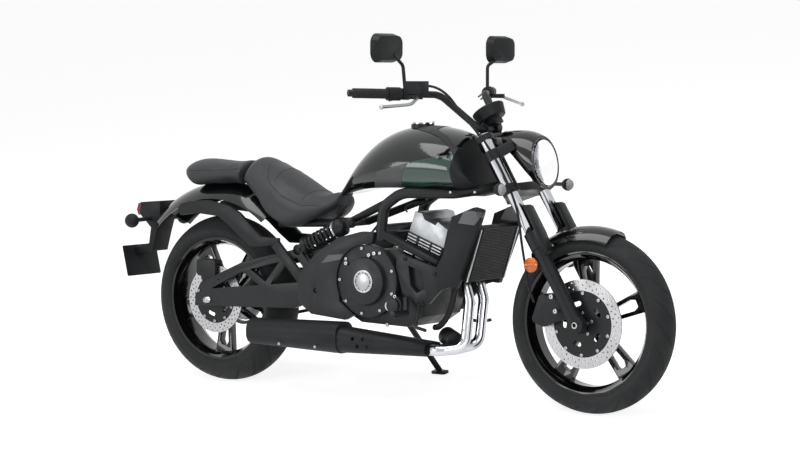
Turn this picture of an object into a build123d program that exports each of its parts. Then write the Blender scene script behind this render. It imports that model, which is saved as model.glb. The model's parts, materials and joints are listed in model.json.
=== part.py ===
"""Cruiser motorcycle, a parallel twin, parked leaning on its side stand.

Every piece is drawn on the upright machine: X forward, Y to the rider's left, Z up, with the
rear axle over X = 0 and the tyres on Z = 0. At the end all of it leans onto the side stand and
moves so that the origin is under the middle of the whole machine, on the ground.
"""
import os
from math import cos, radians, sin, tan

from build123d import *

os.makedirs("parts", exist_ok=True)

# Stance
wheelbase = 1575
rake_angle = 31
fork_offset = 56
lean_angle = 10

# Tyres and rims
front_tyre_radius = 308
front_tyre_width = 120
front_rim_radius = 242
rear_tyre_radius = 308
rear_tyre_width = 160
rear_rim_radius = 228
crown_depth_share = 0.33
tyre_wall = 9
rim_wall = 6
spoke_count = 5
front_spoke_start = 23
rear_spoke_start = 50

# Brakes and final drive
front_disc_radius = 150
front_disc_side = 66
rear_disc_radius = 125
rear_disc_side = 79
disc_thickness = 5
chain_side = 92
chain_width = 16
sprocket_radius = 92
running_gap = 0.3

# Fork, measured up along the legs from the front axle
fork_tube_diameter = 41
fork_spread = 102
slider_diameter = 56
slider_top = 350
lower_clamp_height = 500
upper_clamp_height = 706
clamp_thickness = 30
fork_tube_top = 732
reflector_centre = (1407, 503)
reflector_side = 118
axle_diameter = 22
axle_bore_radius = 7
front_axle_end = 122
rear_axle_end = 140

# Handlebar
bar_diameter = 24
bar_half_width = 442
grip_diameter = 34
grip_length = 125

# Frame and swingarm
frame_tube_diameter = 38
swingarm_pivot = (520, 0, 372)
pivot_bolt_radius = 10
arm_side = 104
arm_thickness = 20
spool_thread = (50, 386)
spool_thread_radius = 3.4

# Engine
crankcase_half = 118
cylinder_half = 98
clutch_centre = (742, 417)
clutch_cover_radius = 128
front_sprocket_centre = (655, 390)
front_loop = 38

# Side stand
stand_pivot = Vector(665, 176, 272)
stand_foot = (760, 285)
stand_stowed = (-265, 15, -20)
stand_tube_diameter = 22
stand_plate_thickness = 8
stand_pin_radius = 7


def axle_height(tyre_radius, tyre_width):
    """Height of an axle over the ground line, with its tyre leaning on its round crown."""
    depth = tyre_width * crown_depth_share
    crown = (tyre_width * tyre_width / 4 + depth * depth) / (2 * depth)
    return tyre_radius - crown + crown / cos(radians(lean_angle))


rear_axle = Vector(0, 0, axle_height(rear_tyre_radius, rear_tyre_width))
front_axle = Vector(wheelbase, 0, axle_height(front_tyre_radius, front_tyre_width))
ground_slope = tan(radians(lean_angle))

# The fork plane has its origin on the front axle, x to the front and z up along the legs
rake = radians(rake_angle)
fork_up = Vector(-sin(rake), 0, cos(rake))
fork_plane = Plane(origin=front_axle, x_dir=(cos(rake), 0, sin(rake)), z_dir=fork_up)
fork_profile = Plane(origin=front_axle, x_dir=(cos(rake), 0, sin(rake)), z_dir=(0, -1, 0))

pieces = []


def keep(piece, name):
    """Labels a finished piece and keeps it for the lean and the files at the end."""
    piece.part.label = name
    pieces.append(piece.part)


def side_plane(y):
    """Upright plane along the machine at y, drawn on as seen from its right side."""
    return Plane.XZ.offset(-y)


def slab(outline, y, thickness, holes=()):
    """Plate with the side outline given, from y towards the right side."""
    with BuildSketch(side_plane(y)) as plate:
        Polygon(*outline, align=None)
        for hole in holes:
            Polygon(*hole, align=None, mode=Mode.SUBTRACT)
    extrude(plate.sketch, amount=thickness)


def bar_along(start, end, radius):
    """Round bar from one point to another."""
    axis = Vector(*end) - Vector(*start)
    with BuildSketch(Plane(origin=start, z_dir=axis)) as end_face:
        Circle(radius)
    extrude(end_face.sketch, amount=axis.length)


def bent_tube(points, bends, radius):
    """Round tube along straight runs joined by tangent arcs."""
    with BuildLine() as route:
        FilletPolyline(*points, radius=bends)
    first = Vector(*points[1]) - Vector(*points[0])
    with BuildSketch(Plane(origin=points[0], z_dir=first)) as section:
        Circle(radius)
    sweep(section.sketch, path=route.line)


def both_sides(point):
    """A point and its mirror image on the other side of the machine."""
    x, y, z = point
    return [(x, -y, z), (x, y, z)]


def hoop(station, bottom, top, half_width, belly=0.45, crown=0.55):
    """Cross-section of a rounded body at X, flat below and crowned on top."""
    height = top - bottom
    with BuildSketch(Plane.YZ.offset(station)) as section:
        with BuildLine():
            floor_line = Line((-half_width * 0.72, bottom), (half_width * 0.72, bottom))
            Spline(
                floor_line @ 1,
                (half_width, bottom + height * belly),
                (half_width * crown, top - height * 0.12),
                (0, top),
                (-half_width * crown, top - height * 0.12),
                (-half_width, bottom + height * belly),
                floor_line @ 0,
            )
        make_face()
    return section.sketch


# Tyres
def tyre(axle, radius, width, rim_radius):
    """Hollow tyre carcass with a round crown, turned about its axle."""
    half = width / 2
    bead = half * 0.8
    foot = rim_radius + running_gap
    shoulder = radius - width * crown_depth_share
    middle = (shoulder + foot) / 2
    with BuildSketch(Plane(origin=axle, x_dir=(0, 1, 0), z_dir=(1, 0, 0))) as section:
        with BuildLine():
            ThreePointArc((-half, shoulder), (0, radius), (half, shoulder))
            ThreePointArc((half, shoulder), (half * 0.98, middle), (bead, foot))
            Line((bead, foot), (bead - tyre_wall, foot))
            ThreePointArc(
                (bead - tyre_wall, foot), (half * 0.98 - tyre_wall, middle), (half - tyre_wall, shoulder)
            )
            ThreePointArc((half - tyre_wall, shoulder), (0, radius - tyre_wall), (tyre_wall - half, shoulder))
            ThreePointArc(
                (tyre_wall - half, shoulder), (tyre_wall - half * 0.98, middle), (tyre_wall - bead, foot)
            )
            Line((tyre_wall - bead, foot), (-bead, foot))
            ThreePointArc((-bead, foot), (-half * 0.98, middle), (-half, shoulder))
        make_face()
    revolve(section.sketch, axis=Axis(axle, (0, 1, 0)))


with BuildPart() as front_tyre:
    tyre(front_axle, front_tyre_radius, front_tyre_width, front_rim_radius)
keep(front_tyre, "front_tyre")

with BuildPart() as rear_tyre:
    tyre(rear_axle, rear_tyre_radius, rear_tyre_width, rear_rim_radius)
keep(rear_tyre, "rear_tyre")


# Cast wheels
def cast_wheel(axle, rim_radius, width, hub_radius, hub_half, start_angle, arm_depth):
    """Drop-centre rim, hub and twin-arm spokes, each pair webbed together at the rim."""
    half = width * 0.4
    well = rim_radius - 22
    with BuildSketch(Plane(origin=axle, x_dir=(0, 1, 0), z_dir=(1, 0, 0))) as barrel:
        with BuildLine():
            Polyline(
                (-half, rim_radius),
                (-half, rim_radius - 10),
                (-half * 0.75, rim_radius - 16),
                (-half * 0.45, well - rim_wall),
                (half * 0.45, well - rim_wall),
                (half * 0.75, rim_radius - 16),
                (half, rim_radius - 10),
                (half, rim_radius),
                (half * 0.8, rim_radius - rim_wall),
                (half * 0.5, well),
                (-half * 0.5, well),
                (-half * 0.8, rim_radius - rim_wall),
                close=True,
            )
        make_face()
    revolve(barrel.sketch, axis=Axis(axle, (0, 1, 0)))
    hub_plane = Plane(origin=axle, x_dir=(1, 0, 0), z_dir=(0, -1, 0))
    with BuildSketch(hub_plane) as hub:
        Circle(hub_radius)
    extrude(hub.sketch, amount=hub_half, both=True)
    root = hub_radius * 0.8
    tip = well - rim_wall / 2
    with BuildSketch(hub_plane) as spokes:
        with PolarLocations(0, spoke_count, start_angle=start_angle):
            Polygon((root, -20), (tip, -38), (tip, 38), (root, 20), align=None)
            Polygon(
                (root + 18, -8),
                (tip * 0.8, -20),
                (tip * 0.88, -12),
                (tip * 0.88, 12),
                (tip * 0.8, 20),
                (root + 18, 8),
                align=None,
                mode=Mode.SUBTRACT,
            )
        Circle(hub_radius)
    extrude(spokes.sketch, amount=arm_depth / 2, both=True)
    with BuildSketch(hub_plane) as axle_bore:
        Circle(axle_diameter / 2 + running_gap)
    extrude(axle_bore.sketch, amount=hub_half * 2, both=True, mode=Mode.SUBTRACT)


with BuildPart() as front_wheel:
    cast_wheel(front_axle, front_rim_radius, front_tyre_width, 40, 58, front_spoke_start, 26)
keep(front_wheel, "front_wheel")

with BuildPart() as rear_wheel:
    cast_wheel(rear_axle, rear_rim_radius, rear_tyre_width, 48, 72, rear_spoke_start, 30)
keep(rear_wheel, "rear_wheel")


# Brake discs
def brake_disc(axle, side, radius, track, bolt_circle, hub_bore, inner_face):
    """Disc with its dark carrier, bolted to the hub face at inner_face."""
    plane = Plane(origin=(axle.X, -side, axle.Z), x_dir=(1, 0, 0), z_dir=(0, -1, 0))
    with BuildSketch(plane) as track_face:
        Circle(radius)
        Circle(hub_bore, mode=Mode.SUBTRACT)
        with PolarLocations((track + hub_bore) / 2, 5, start_angle=36):
            SlotOverall(34, 16, rotation=90, mode=Mode.SUBTRACT)
    extrude(track_face.sketch, amount=disc_thickness / 2, both=True)
    with BuildSketch(plane) as carrier:
        Circle(bolt_circle)
        Circle(hub_bore, mode=Mode.SUBTRACT)
    extrude(carrier.sketch, amount=-(side - inner_face))


with BuildPart() as front_disc:
    brake_disc(front_axle, front_disc_side, front_disc_radius, 113, 44, 26, 58)
keep(front_disc, "front_brake_disc")

with BuildPart() as rear_disc:
    brake_disc(rear_axle, rear_disc_side, rear_disc_radius, 86, 52, 28, 72)
keep(rear_disc, "rear_brake_disc")

# Fork
fork_tube_radius = fork_tube_diameter / 2
slider_radius = slider_diameter / 2

with BuildPart() as fork_tubes:
    with BuildSketch(fork_plane.offset(slider_top - 20)):
        with Locations((0, -fork_spread), (0, fork_spread)):
            Circle(fork_tube_radius)
    extrude(amount=fork_tube_top - slider_top + 20)
    chamfer(fork_tubes.faces().sort_by(Axis.Z)[-2:].edges(), 3)
keep(fork_tubes, "fork_tubes")

with BuildPart() as fork_sliders:
    with BuildSketch(fork_plane):
        with Locations((0, -fork_spread), (0, fork_spread)):
            Circle(slider_radius - 4)
    extrude(amount=slider_top - 60)
    with BuildSketch(fork_plane.offset(slider_top - 60)):
        with Locations((0, -fork_spread), (0, fork_spread)):
            Circle(slider_radius)
    extrude(amount=60)
    for side in (-1, 1):
        boss = Plane(
            origin=front_axle + Vector(0, side * fork_spread, 0), x_dir=(1, 0, 0), z_dir=(0, -1, 0)
        )
        with BuildSketch(boss):
            Circle(30)
        extrude(amount=16, both=True)
        shield_plane = Plane(boss.origin, x_dir=fork_profile.x_dir, z_dir=fork_profile.z_dir)
        with BuildSketch(shield_plane):
            Polygon((8, 250), (36, 262), (42, 330), (42, 430), (34, 440), (26, 440), (26, 353), (8, 340),
                    align=None)
        extrude(amount=20, both=True)
        bracket = side_plane(reflector_side if side > 0 else 4 - reflector_side)
        with BuildSketch(bracket):
            with Locations(reflector_centre):
                Circle(14)
            Polygon((1407, 489), (1407, 517), (1458, 520), (1462, 492), align=None)
        extrude(amount=4)
    with BuildSketch(fork_profile):
        Circle(axle_diameter / 2)
    extrude(amount=fork_spread * 2, both=True, mode=Mode.SUBTRACT)
    with BuildSketch(fork_plane.offset(slider_top - 20)):
        with Locations((0, -fork_spread), (0, fork_spread)):
            Circle(fork_tube_radius)
    extrude(amount=140, mode=Mode.SUBTRACT)
keep(fork_sliders, "fork_sliders")

with BuildPart() as fork_clamps:
    for height, depth in ((lower_clamp_height, clamp_thickness), (upper_clamp_height, 18)):
        with BuildSketch(fork_plane.offset(height)):
            with BuildLine():
                Polyline(
                    (20, -fork_spread - 10),
                    (28, 0),
                    (20, fork_spread + 10),
                    (-24, fork_spread + 8),
                    (-fork_offset - 26, 22),
                    (-fork_offset - 26, -22),
                    (-24, -fork_spread - 8),
                    close=True,
                )
            make_face()
            with Locations((0, -fork_spread), (0, fork_spread)):
                Circle(fork_tube_radius + 11)
        extrude(amount=depth)
    with BuildSketch(fork_plane.offset(lower_clamp_height)):
        with Locations((-fork_offset, 0)):
            Circle(15)
    extrude(amount=upper_clamp_height + 18 - lower_clamp_height)
    with BuildSketch(fork_plane.offset(lower_clamp_height - 10)):
        with Locations((0, -fork_spread), (0, fork_spread)):
            Circle(fork_tube_radius)
    extrude(amount=fork_tube_top - lower_clamp_height + 20, mode=Mode.SUBTRACT)
keep(fork_clamps, "fork_clamps")

with BuildPart() as front_axle_bar:
    with BuildSketch(fork_profile.offset(front_axle_end)):
        Circle(axle_diameter / 2)
        Circle(axle_bore_radius, mode=Mode.SUBTRACT)
    extrude(amount=-2 * front_axle_end)
keep(front_axle_bar, "front_axle")


def radial_plane(axle, angle):
    """Plane through an axle, x to the left and y outwards, angle degrees ahead of upright."""
    turn = radians(angle)
    return Plane(origin=axle, x_dir=(0, 1, 0), z_dir=(cos(turn), 0, -sin(turn)))


# Front fender
fender_wall = 4
front_fender_half = 70
front_fender_radius = front_tyre_radius + 18

with BuildPart() as front_fender:
    with BuildSketch(radial_plane(front_axle, -44)):
        with BuildLine():
            ThreePointArc((-front_fender_half, front_fender_radius - 46), (0, front_fender_radius),
                          (front_fender_half, front_fender_radius - 46))
            Line((front_fender_half, front_fender_radius - 46),
                 (front_fender_half - fender_wall, front_fender_radius - 46))
            ThreePointArc((front_fender_half - fender_wall, front_fender_radius - 46),
                          (0, front_fender_radius - fender_wall),
                          (fender_wall - front_fender_half, front_fender_radius - 46))
            Line((fender_wall - front_fender_half, front_fender_radius - 46),
                 (-front_fender_half, front_fender_radius - 46))
        make_face()
    revolve(axis=Axis(front_axle, (0, 1, 0)), revolution_arc=62)
    bracket_top = slider_top - 20
    inner_edge = fork_spread - slider_radius - running_gap
    for side in (-1, 1):
        near = min(side * inner_edge, side * (front_fender_half - fender_wall))
        with BuildSketch(Plane(origin=front_axle + Vector(0, near, 0), x_dir=fork_profile.x_dir,
                               z_dir=fork_profile.z_dir)):
            Polygon((-12, bracket_top - 60), (30, bracket_top - 60), (30, bracket_top - 30),
                    (-12, bracket_top - 30), align=None)
        extrude(amount=-(inner_edge - front_fender_half + fender_wall))
keep(front_fender, "front_fender")

# Headlight, instrument and signals
lens_centre = (1385, 0, 842)
lens_tilt = 9
nacelle_half_width = 86
nacelle_half_height = 92
lens_half_width = 72
lens_half_height = 80


def nacelle_ring(x, z, half_width, half_height, tilt):
    """Oval section of the headlight housing, tilted back by tilt degrees."""
    turn = radians(tilt)
    with BuildSketch(Plane(origin=(x, 0, z), x_dir=(0, 1, 0), z_dir=(cos(turn), 0, sin(turn)))) as ring:
        Ellipse(half_width, half_height)
    return ring.sketch


lens_turn = radians(lens_tilt)
lens_plane = Plane(origin=lens_centre, x_dir=(0, 1, 0), z_dir=(cos(lens_turn), 0, sin(lens_turn)))

with BuildPart() as headlight_shell:
    loft([
        nacelle_ring(1252, 906, 60, 46, 25),
        nacelle_ring(1305, 882, 78, 72, 16),
        nacelle_ring(1352, 858, nacelle_half_width, nacelle_half_height - 2, 10),
        nacelle_ring(lens_centre[0], lens_centre[2], nacelle_half_width, nacelle_half_height, lens_tilt),
    ])
    with BuildSketch(lens_plane):
        Ellipse(lens_half_width + 2, lens_half_height + 2)
    extrude(amount=-24, mode=Mode.SUBTRACT)
keep(headlight_shell, "headlight_shell")

with BuildPart() as headlight_lens:
    with BuildSketch(lens_plane.offset(-23)):
        Ellipse(lens_half_width, lens_half_height)
    extrude(amount=27)
    fillet(headlight_lens.faces().sort_by(Axis.X)[-1].edges(), 8)
keep(headlight_lens, "headlight_lens")

with BuildPart() as headlight_stay:
    with BuildSketch(fork_plane.offset(lower_clamp_height + 130)):
        with Locations((0, -fork_spread), (0, fork_spread)):
            Circle(fork_tube_radius + 6)
            Circle(fork_tube_radius, mode=Mode.SUBTRACT)
    extrude(amount=36)
    for side in (-1, 1):
        with BuildSketch(fork_plane.offset(lower_clamp_height + 130)):
            Polygon((14, side * (fork_spread - 14)), (14, side * (fork_spread + 8)),
                    (78, side * 86), (78, side * 78), align=None)
        extrude(amount=36)
    add(fork_tubes.part, mode=Mode.SUBTRACT)
    add(headlight_shell.part, mode=Mode.SUBTRACT)
keep(headlight_stay, "headlight_stay")

with BuildPart() as front_signals:
    for x, y, z in both_sides((1342, 217, 758)):
        with Locations((x, y, z)):
            Sphere(22)
        side = -1 if y < 0 else 1
        bar_along((1304, side * (fork_spread + fork_tube_radius + 11 + running_gap), 758),
                  (x, y - side * 10, z), 7)
    add(fork_clamps.part, mode=Mode.SUBTRACT)
keep(front_signals, "front_signals")

with BuildPart() as fork_reflectors:
    for side in (-1, 1):
        with BuildSketch(side_plane(side * (reflector_side + running_gap))):
            with Locations(reflector_centre):
                Circle(25)
        extrude(amount=-side * 9)
keep(fork_reflectors, "fork_reflectors")

# Handlebar and controls
bar_centre = (1163, 950)
bar_bend = (1046, 139, 1071)
bar_end = (882, bar_half_width, 1078)
bar_radius = bar_diameter / 2

with BuildPart() as handlebar:
    for side in (-1, 1):
        bent_tube([(bar_centre[0], 0, bar_centre[1]), (bar_centre[0], side * 62, bar_centre[1]),
                   (bar_bend[0], side * bar_bend[1], bar_bend[2]),
                   (bar_end[0], side * bar_end[1], bar_end[2])], [30, 55], bar_radius)
keep(handlebar, "handlebar")


def bar_point(distance, side):
    """Point on the straight end of the handlebar, distance in from its tip."""
    tip = Vector(bar_end[0], side * bar_end[1], bar_end[2])
    bend = Vector(bar_bend[0], side * bar_bend[1], bar_bend[2])
    return tip + (bend - tip).normalized() * distance


def bar_sleeve(start, length, radius, side):
    """Sleeve around the handlebar, start in from the tip."""
    first = bar_point(start, side)
    axis = bar_point(start + length, side) - first
    with BuildSketch(Plane(origin=first, z_dir=axis)) as ring:
        Circle(radius)
        Circle(bar_radius, mode=Mode.SUBTRACT)
    extrude(ring.sketch, amount=length)


with BuildPart() as grips:
    for side in (-1, 1):
        bar_sleeve(18, grip_length, grip_diameter / 2, side)
keep(grips, "grips")

with BuildPart() as bar_controls:
    for side in (-1, 1):
        bar_sleeve(18 + grip_length + 2, 46, 23, side)
        bar_sleeve(18 + grip_length + 56, 26, 20, side)
        mount = bar_point(18 + grip_length + 69, side)
        with Locations(mount + Vector(34, 0, -10)):
            Box(66, 20, 15)
        if side < 0:
            with Locations(mount + Vector(38, 12, 22)):
                Box(72, 46, 44)
    add(handlebar.part, mode=Mode.SUBTRACT)
keep(bar_controls, "bar_controls")

with BuildPart() as hand_levers:
    for side in (-1, 1):
        pivot = bar_point(18 + grip_length + 69, side) + Vector(56, 0, -10)
        tip = Vector(1015, side * 437, 1032)
        middle = Vector(1062, side * 330, 1040)
        bent_tube([pivot, middle, tip], [60], 5.5)
        with Locations(tip):
            Sphere(8)
    add(bar_controls.part, mode=Mode.SUBTRACT)
keep(hand_levers, "hand_levers")

with BuildPart() as mirrors:
    for side in (-1, 1):
        foot = bar_point(18 + grip_length + 69, side) + Vector(0, 0, 18)
        bent_tube([foot, foot + Vector(-4, side * 6, 79), Vector(990, side * 330, 1205)], [20], 6)
        mirror_plane = Plane(origin=(965, side * 352, 1229), x_dir=(0, 1, 0), z_dir=(1, 0, 0))
        with BuildSketch(mirror_plane):
            RectangleRounded(160, 98, 34)
        extrude(amount=26, taper=18)
    add(bar_controls.part, mode=Mode.SUBTRACT)
keep(mirrors, "mirrors")

with BuildPart() as bar_risers:
    for side in (-1, 1):
        with BuildSketch(side_plane(side * 28 + 12)):
            with Locations(bar_centre):
                Circle(21)
        extrude(amount=24)
        with BuildSketch(fork_plane.offset(upper_clamp_height + 18)):
            with Locations((-23, side * 28)):
                Circle(12)
        extrude(amount=34)
    with BuildSketch(side_plane(80)):
        with Locations(bar_centre):
            Circle(bar_radius)
    extrude(amount=160, mode=Mode.SUBTRACT)
keep(bar_risers, "bar_risers")

pod_plane = Plane(origin=(1150, 0, 1022), x_dir=(0, 1, 0), z_dir=(-sin(radians(32)), 0, cos(radians(32))))

with BuildPart() as instrument_pod:
    with BuildSketch(pod_plane):
        Circle(60)
    extrude(amount=-42, taper=14)
    fillet(instrument_pod.edges().filter_by(GeomType.CIRCLE), 5)
    with BuildSketch(pod_plane.offset(-36)):
        Rectangle(76, 26)
    extrude(amount=-24)
    add(bar_risers.part, mode=Mode.SUBTRACT)
    add(handlebar.part, mode=Mode.SUBTRACT)
keep(instrument_pod, "instrument_pod")

# Front brake caliper, behind the right fork leg
with BuildPart() as front_caliper:
    with BuildSketch(side_plane(-front_disc_side + 26)):
        with Locations((1440, 350)):
            RectangleRounded(62, 104, 16, rotation=-20)
    extrude(amount=62)
    with BuildSketch(Plane(origin=front_axle + Vector(0, -front_disc_side + disc_thickness, 0),
                           x_dir=(1, 0, 0), z_dir=(0, -1, 0))):
        Circle(front_disc_radius + 5)
    extrude(amount=disc_thickness * 2, mode=Mode.SUBTRACT)
    slab([(1450, 300), (1450, 395), (1500, 420), (1535, 400), (1545, 330)], -90, 14)
    add(fork_sliders.part, mode=Mode.SUBTRACT)
keep(front_caliper, "front_caliper")

# Frame
tube_radius = frame_tube_diameter / 2
head_low = fork_plane.from_local_coords((-fork_offset, 0, lower_clamp_height + clamp_thickness + 2))
head_high = fork_plane.from_local_coords((-fork_offset, 0, upper_clamp_height - 2))

with BuildPart() as frame_tubes:
    bar_along(head_low, head_high, 30)
    for side in (-1, 1):
        bent_tube([(785, side * 122, 560), (800, side * 124, 680), (875, side * 124, 730),
                   (1080, side * 92, 733), (1226, side * 24, 758)], [60, 110, 80], tube_radius)
        bar_along((790, side * 122, 585), (1040, side * 119, 489), tube_radius - 3)
        bar_along((600, side * 60, 612), (810, side * 112, 695), 14)
        bar_along((600, side * 60, 612), (300, side * 70, 600), 14)
    with BuildSketch(fork_plane.offset(lower_clamp_height)):
        with Locations((-fork_offset, 0)):
            Circle(16)
    extrude(amount=upper_clamp_height - lower_clamp_height, mode=Mode.SUBTRACT)
    bar_along((780, -125, 600), (780, 125, 600), 16)
    bar_along((1000, -105, 725), (1000, 105, 725), 14)
    bar_along((600, -62, 612), (600, 62, 612), 14)
keep(frame_tubes, "frame_tubes")

with BuildPart() as frame_plates:
    for side in (-1, 1):
        slab([(870, 520), (1035, 478), (1050, 400), (1000, 350), (950, 345), (890, 385), (862, 470)],
             side * 132 + 8, 16, [[(915, 480), (975, 460), (985, 400), (950, 385), (925, 410)]])
    add(frame_tubes.part, mode=Mode.SUBTRACT)
keep(frame_plates, "frame_plates")

# The stand swings from down to stowed about the line square to both
foot_height = stand_foot[1] * ground_slope
stand_down = Vector(*stand_foot, foot_height) - Vector(*stand_pivot)
stand_axis = stand_down.cross(Vector(*stand_stowed)).normalized()

with BuildPart() as pivot_plates:
    for side in (-1, 1):
        slab([(440, 330), (445, 430), (520, 505), (620, 565), (720, 590), (775, 590), (770, 555),
              (690, 520), (640, 480), (620, 420), (625, 340), (690, 295), (650, 275), (500, 288)],
             side * 140 + 11, 22)
    with BuildSketch(side_plane(160)):
        with Locations(clutch_centre):
            Circle(clutch_cover_radius + 1)
    extrude(amount=320, mode=Mode.SUBTRACT)
    slab([(625, 300), (640, 238), (690, 238), (705, 300)], 151, 22)
    with BuildSketch(side_plane(160)):
        with Locations((swingarm_pivot[0], swingarm_pivot[2])):
            Circle(pivot_bolt_radius)
    extrude(amount=320, mode=Mode.SUBTRACT)
    add(frame_tubes.part, mode=Mode.SUBTRACT)
    bar_along(stand_pivot - stand_axis * 34, stand_pivot - stand_axis * 13, 13)
    bar_along(stand_pivot - stand_axis * 34, stand_pivot + stand_axis * 17, stand_pin_radius)
    bar_along(stand_pivot + stand_axis * 12.5, stand_pivot + stand_axis * 17, 11)
keep(pivot_plates, "pivot_plates")

# Rear shock
shock_side = 108
shock_low = Vector(417, -shock_side, 512)
shock_high = Vector(640, -shock_side, 616)
shock_eye_radius = 19
shock_axis = shock_high - shock_low

with BuildPart() as shock_body:
    bar_along(shock_low, shock_high, 10)
    for end in (shock_low, shock_high):
        bar_along(end - Vector(0, 15, 0), end + Vector(0, 15, 0), shock_eye_radius)
    bar_along(shock_low + shock_axis * 0.12, shock_low + shock_axis * 0.16, 34)
    bar_along(shock_low + shock_axis * 0.76, shock_low + shock_axis * 0.88, 32)
keep(shock_body, "shock_body")

with BuildPart() as shock_spring:
    with BuildSketch(Plane(origin=shock_low + shock_axis * 0.161, z_dir=shock_axis)):
        Circle(32)
        Circle(21, mode=Mode.SUBTRACT)
    extrude(amount=shock_axis.length * 0.598)
keep(shock_spring, "shock_spring")

# Swingarm
with BuildPart() as swingarm:
    for side in (-1, 1):
        inner = -arm_side if side < 0 else arm_side + arm_thickness
        slab([(-62, 285), (400, 300), (520, 340), (550, 372), (540, 405), (400, 392), (0, 350), (-60, 332)],
             inner, arm_thickness)
        slab([(-40, 345), (0, 345), (170, 425), (400, 480), (440, 490), (440, 520), (400, 512),
              (160, 455), (-35, 372)], inner, arm_thickness)
        slab([(400, 500), (436, 505), (530, 400), (500, 385)], inner, arm_thickness)
        slab([(150, 430), (180, 445), (300, 370), (262, 365)], inner, arm_thickness)
        slab([(255, 370), (285, 370), (370, 475), (340, 470)], inner, arm_thickness)
    bar_along((swingarm_pivot[0], -arm_side - 2, swingarm_pivot[2]),
              (swingarm_pivot[0], arm_side + 2, swingarm_pivot[2]), 26)
    slab([(395, 330), (450, 335), (450, 390), (395, 388)], arm_side + 2, 2 * arm_side + 4)
    with BuildSketch(side_plane(200)):
        with Locations((rear_axle.X, rear_axle.Z)):
            Circle(axle_diameter / 2)
        with Locations((shock_low.X, shock_low.Z)):
            Circle(shock_eye_radius + running_gap)
        with Locations(spool_thread):
            Circle(spool_thread_radius)
    extrude(amount=400, mode=Mode.SUBTRACT)
    add(shock_body.part, mode=Mode.SUBTRACT)
    bar_along((swingarm_pivot[0], -146, swingarm_pivot[2]), (swingarm_pivot[0], 146, swingarm_pivot[2]),
              pivot_bolt_radius)
keep(swingarm, "swingarm")

with BuildPart() as rear_axle_bar:
    with BuildSketch(side_plane(rear_axle_end)):
        with Locations((rear_axle.X, rear_axle.Z)):
            Circle(axle_diameter / 2)
    extrude(amount=2 * rear_axle_end)
keep(rear_axle_bar, "rear_axle")

# Engine
with BuildPart() as crankcase:
    slab([(640, 300), (700, 268), (900, 262), (960, 300), (985, 400), (980, 482), (850, 530), (700, 520),
          (640, 450)], crankcase_half, 2 * crankcase_half)
    with BuildSketch(side_plane(crankcase_half + 1)):
        with Locations(front_sprocket_centre):
            Circle(60)
        Polygon((600, 320), (655, 330), (655, 450), (600, 460), align=None)
    extrude(amount=crankcase_half + 1 - chain_side + chain_width, mode=Mode.SUBTRACT)
    with BuildSketch(side_plane(chain_side - chain_width)):
        with Locations(front_sprocket_centre):
            Circle(16)
    extrude(amount=-chain_width - 8)
    with BuildSketch(side_plane(chain_side + 4)):
        with Locations(front_sprocket_centre):
            Circle(front_loop - running_gap)
    extrude(amount=8)
keep(crankcase, "crankcase")

with BuildPart() as cylinders:
    slab([(868, 524), (890, 595), (1035, 542), (1012, 470)], cylinder_half, 2 * cylinder_half)
    add(crankcase.part, mode=Mode.SUBTRACT)
keep(cylinders, "cylinders")

with BuildPart() as head_cover:
    slab([(890, 595), (1035, 542), (1052, 605), (1010, 632), (1000, 620), (955, 638), (945, 660), (915, 665)],
         cylinder_half, 2 * cylinder_half)
keep(head_cover, "head_cover")

with BuildPart() as clutch_cover:
    with BuildSketch(side_plane(-crankcase_half)):
        with Locations(clutch_centre):
            Circle(clutch_cover_radius)
        with Locations((857, 337)):
            Circle(34)
    extrude(amount=28)
    with BuildSketch(side_plane(-146)):
        with Locations(clutch_centre):
            Circle(86)
    extrude(amount=20, taper=12)
    with BuildSketch(side_plane(-146)):
        with Locations((857, 337)):
            Circle(25)
    extrude(amount=10)
    add(frame_plates.part, mode=Mode.SUBTRACT)
keep(clutch_cover, "clutch_cover")

with BuildPart() as left_covers:
    with BuildSketch(side_plane(crankcase_half + 24)):
        with Locations((780, 395)):
            Circle(78)
    extrude(amount=24)
    slab([(645, 320), (690, 300), (690, 470), (645, 470)], crankcase_half + 20, 20)
    add(pivot_plates.part, mode=Mode.SUBTRACT)
keep(left_covers, "left_covers")

# Exhaust
header_radius = 19
muffler_side = 140
with BuildPart() as header_pipes:
    bent_tube([(1030, -45, 560), (1078, -45, 535), (1082, -45, 440), (1110, -48, 360), (1100, -60, 200),
               (1040, -120, 188), (985, -120, 188)], [18, 60, 70, 45, 40], header_radius)
    bent_tube([(1030, 45, 560), (1078, 45, 535), (1082, 45, 440), (1110, 42, 360), (1105, 20, 205),
               (1050, -60, 186), (985, -60, 186)], [18, 60, 70, 45, 40], header_radius)
    add(head_cover.part, mode=Mode.SUBTRACT)
    add(cylinders.part, mode=Mode.SUBTRACT)
keep(header_pipes, "header_pipes")

with BuildPart() as heat_shield:
    with BuildSketch(Plane.YZ.offset(640)) as back:
        with Locations((-muffler_side, 205)):
            RectangleRounded(100, 92, 38)
    with BuildSketch(Plane.YZ.offset(985)) as front:
        with Locations((-92, 188)):
            RectangleRounded(110, 46, 20)
    loft([back.sketch, front.sketch])
keep(heat_shield, "heat_shield")

with BuildPart() as muffler:
    with BuildSketch(Plane.YZ.offset(232)) as back:
        with Locations((-muffler_side, 212)):
            RectangleRounded(100, 92, 38)
    with BuildSketch(Plane.YZ.offset(639.7)) as front:
        with Locations((-muffler_side, 211)):
            RectangleRounded(108, 112, 42)
    loft([back.sketch, front.sketch])
keep(muffler, "muffler")

# Radiator
radiator_low = Vector(1142, 0, 430)
radiator_high = Vector(1203, 0, 616)
radiator_up = radiator_high - radiator_low
radiator_plane = Plane(origin=radiator_low, x_dir=(0, 1, 0), z_dir=(radiator_up.Z, 0, -radiator_up.X))

with BuildPart() as radiator:
    with BuildSketch(radiator_plane):
        with Locations((0, radiator_up.length / 2)):
            Rectangle(240, radiator_up.length)
    extrude(amount=-30)
keep(radiator, "radiator")

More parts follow.
